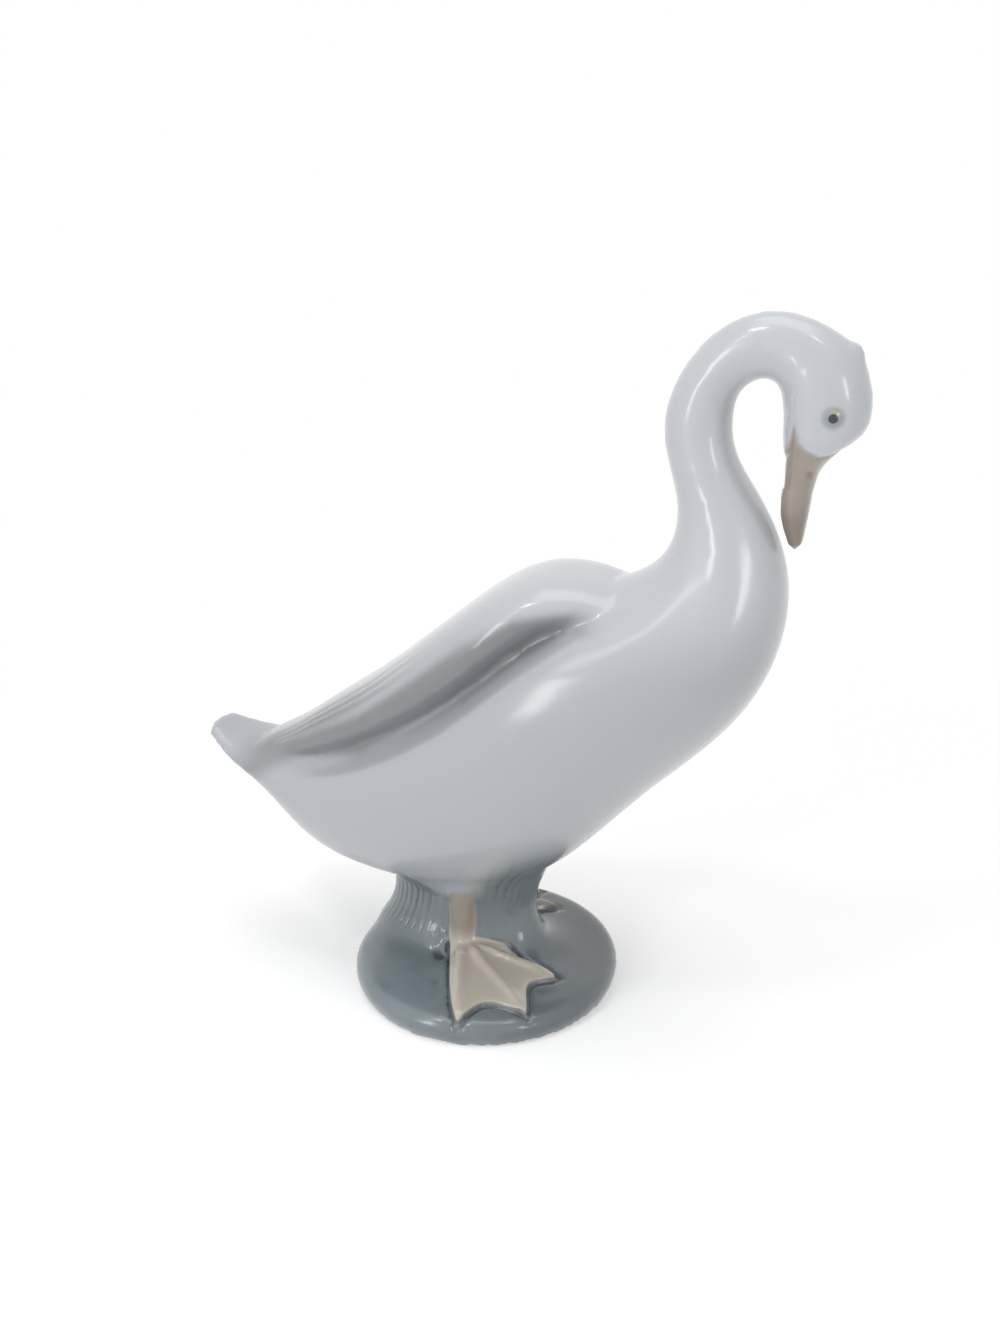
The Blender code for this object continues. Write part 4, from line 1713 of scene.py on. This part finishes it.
@dataclass(frozen=True)
class Lamp:
    """A soft rectangular lamp that faces the bird.

    It is placed by azimuth and elevation in degrees and by its distance from the bird's middle.
    """

    name: str
    azimuth: float
    elevation: float
    distance: float
    size: tuple
    watts: float
    aim_height: float = 0.09

    def build(self) -> bpy.types.Object:
        """Hang the lamp.

        Returns:
            The lamp.
        """
        data = bpy.data.lights.new(self.name, "AREA")
        data.shape = "RECTANGLE"
        data.size, data.size_y = self.size
        data.energy = self.watts
        lamp = bpy.data.objects.new(self.name, data)
        way = direction(math.radians(self.azimuth), math.radians(self.elevation))
        lamp.location = Vector((0.0, 0.0, self.aim_height)) + way * self.distance
        lamp.rotation_mode = "QUATERNION"
        lamp.rotation_quaternion = way.to_track_quat("Z", "Y")
        bpy.context.scene.collection.objects.link(lamp)
        return lamp


@dataclass(frozen=True)
class Stage:
    """Floor, lamps, camera and surroundings."""

    camera_distance: float = 0.40
    azimuth: float = math.radians(20.0)
    sight_elevation: float = math.radians(33.5)
    axis_elevation: float = math.radians(21.5)
    shift_right: float = 0.0035
    aim: tuple = (0.0008, -0.002, 0.0)
    sensor: float = 36.0
    lens: float = 38.78
    floor_half: float = 3.0
    world_light: float = 0.33
    lamps: tuple = (
        Lamp("overhead", 180.0, 84.0, 1.4, (1.0, 1.0), 5.0),
        Lamp("high_left", -35.0, 60.0, 0.9, (0.16, 0.16), 0.9),
        Lamp("middle_left", -31.0, 38.0, 0.9, (0.08, 0.3), 0.3),
        Lamp("high_right", 58.0, 65.0, 1.0, (0.1, 0.1), 0.3),
        Lamp("low_left", -27.0, 12.0, 0.9, (0.14, 0.4), 1.3),
        Lamp("low_right", 54.0, 12.0, 0.9, (0.08, 0.3), 0.7),
    )

    def camera(self) -> bpy.types.Object:
        """The camera at the photo's view.

        Returns:
            The camera, which looks along its axis elevation from a place at its sight elevation.
        """
        data = bpy.data.cameras.new("photo_camera")
        data.sensor_width = self.sensor
        data.lens = self.lens
        data.clip_start = 0.01
        data.clip_end = 20.0
        camera = bpy.data.objects.new("photo_camera", data)
        right = Vector((math.cos(self.azimuth), math.sin(self.azimuth), 0.0))
        camera.location = direction(self.azimuth, self.sight_elevation) * self.camera_distance
        camera.location += right * self.shift_right + Vector(self.aim)
        camera.rotation_mode = "QUATERNION"
        axis = direction(self.azimuth, self.axis_elevation)
        camera.rotation_quaternion = (-axis).to_track_quat("-Z", "Y")
        bpy.context.scene.collection.objects.link(camera)
        bpy.context.scene.camera = camera
        return camera

    def floor(self) -> bpy.types.Object:
        """The floor under the object, one square.

        Returns:
            The floor.
        """
        corners = np.array(((-1, -1, 0), (1, -1, 0), (1, 1, 0), (-1, 1, 0))) * self.floor_half
        floor = mesh_object("floor", Shell(corners, np.array(((0, 1, 2, 3),))))
        floor.data.materials.append(FloorFinish().material())
        return floor

    def world(self) -> bpy.types.World:
        """Even pale surroundings, white where the camera or a reflection sees them.

        Returns:
            The world.
        """
        world = bpy.data.worlds.new("surroundings")
        bpy.context.scene.world = world
        world.use_nodes = True
        tree = world.node_tree
        tree.nodes.clear()
        strength = add_node(tree, "ShaderNodeMapRange", None, Value=seen_as_background(tree),
                            To_Min=self.world_light, To_Max=1.0)
        sky = add_node(tree, "ShaderNodeBackground", Color=linear("#FFFFFF"),
                       Strength=strength.outputs["Result"])
        output = add_node(tree, "ShaderNodeOutputWorld")
        tree.links.new(sky.outputs["Background"], output.inputs["Surface"])
        return world

    def build(self) -> None:
        """Set the whole stage."""
        self.camera()
        self.floor()
        self.world()
        for lamp in self.lamps:
            lamp.build()
        bpy.context.scene.view_settings.view_transform = "Standard"


def main() -> None:
    """Build the figurine and its stage."""
    logging.basicConfig(level=logging.INFO, format="%(message)s")
    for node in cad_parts.values():
        LOG.info("frame node %s", node.name)
    figurine = Figurine(
        base=Base(),
        bird=Bird(),
        wings=Wings(),
        tuft=Tuft(),
        feet=(Foot(Side.RIGHT, -5.8 * MM, ((-71.0, 30.6), (-39.5, 32.5), (-8.5, 27.5))),
              Foot(Side.LEFT, -13.0 * MM, ((24.5, 26.0), (47.0, 24.0), (70.0, 17.0)))),
        crest=Crest(),
        face=Face(),
        finish=GlazedPorcelain(),
    )
    piece = figurine.build()
    LOG.info("%s: %d points", piece.name, len(piece.data.vertices))
    Stage().build()
    bpy.context.view_layer.update()


if __name__ == "__main__":
    main()
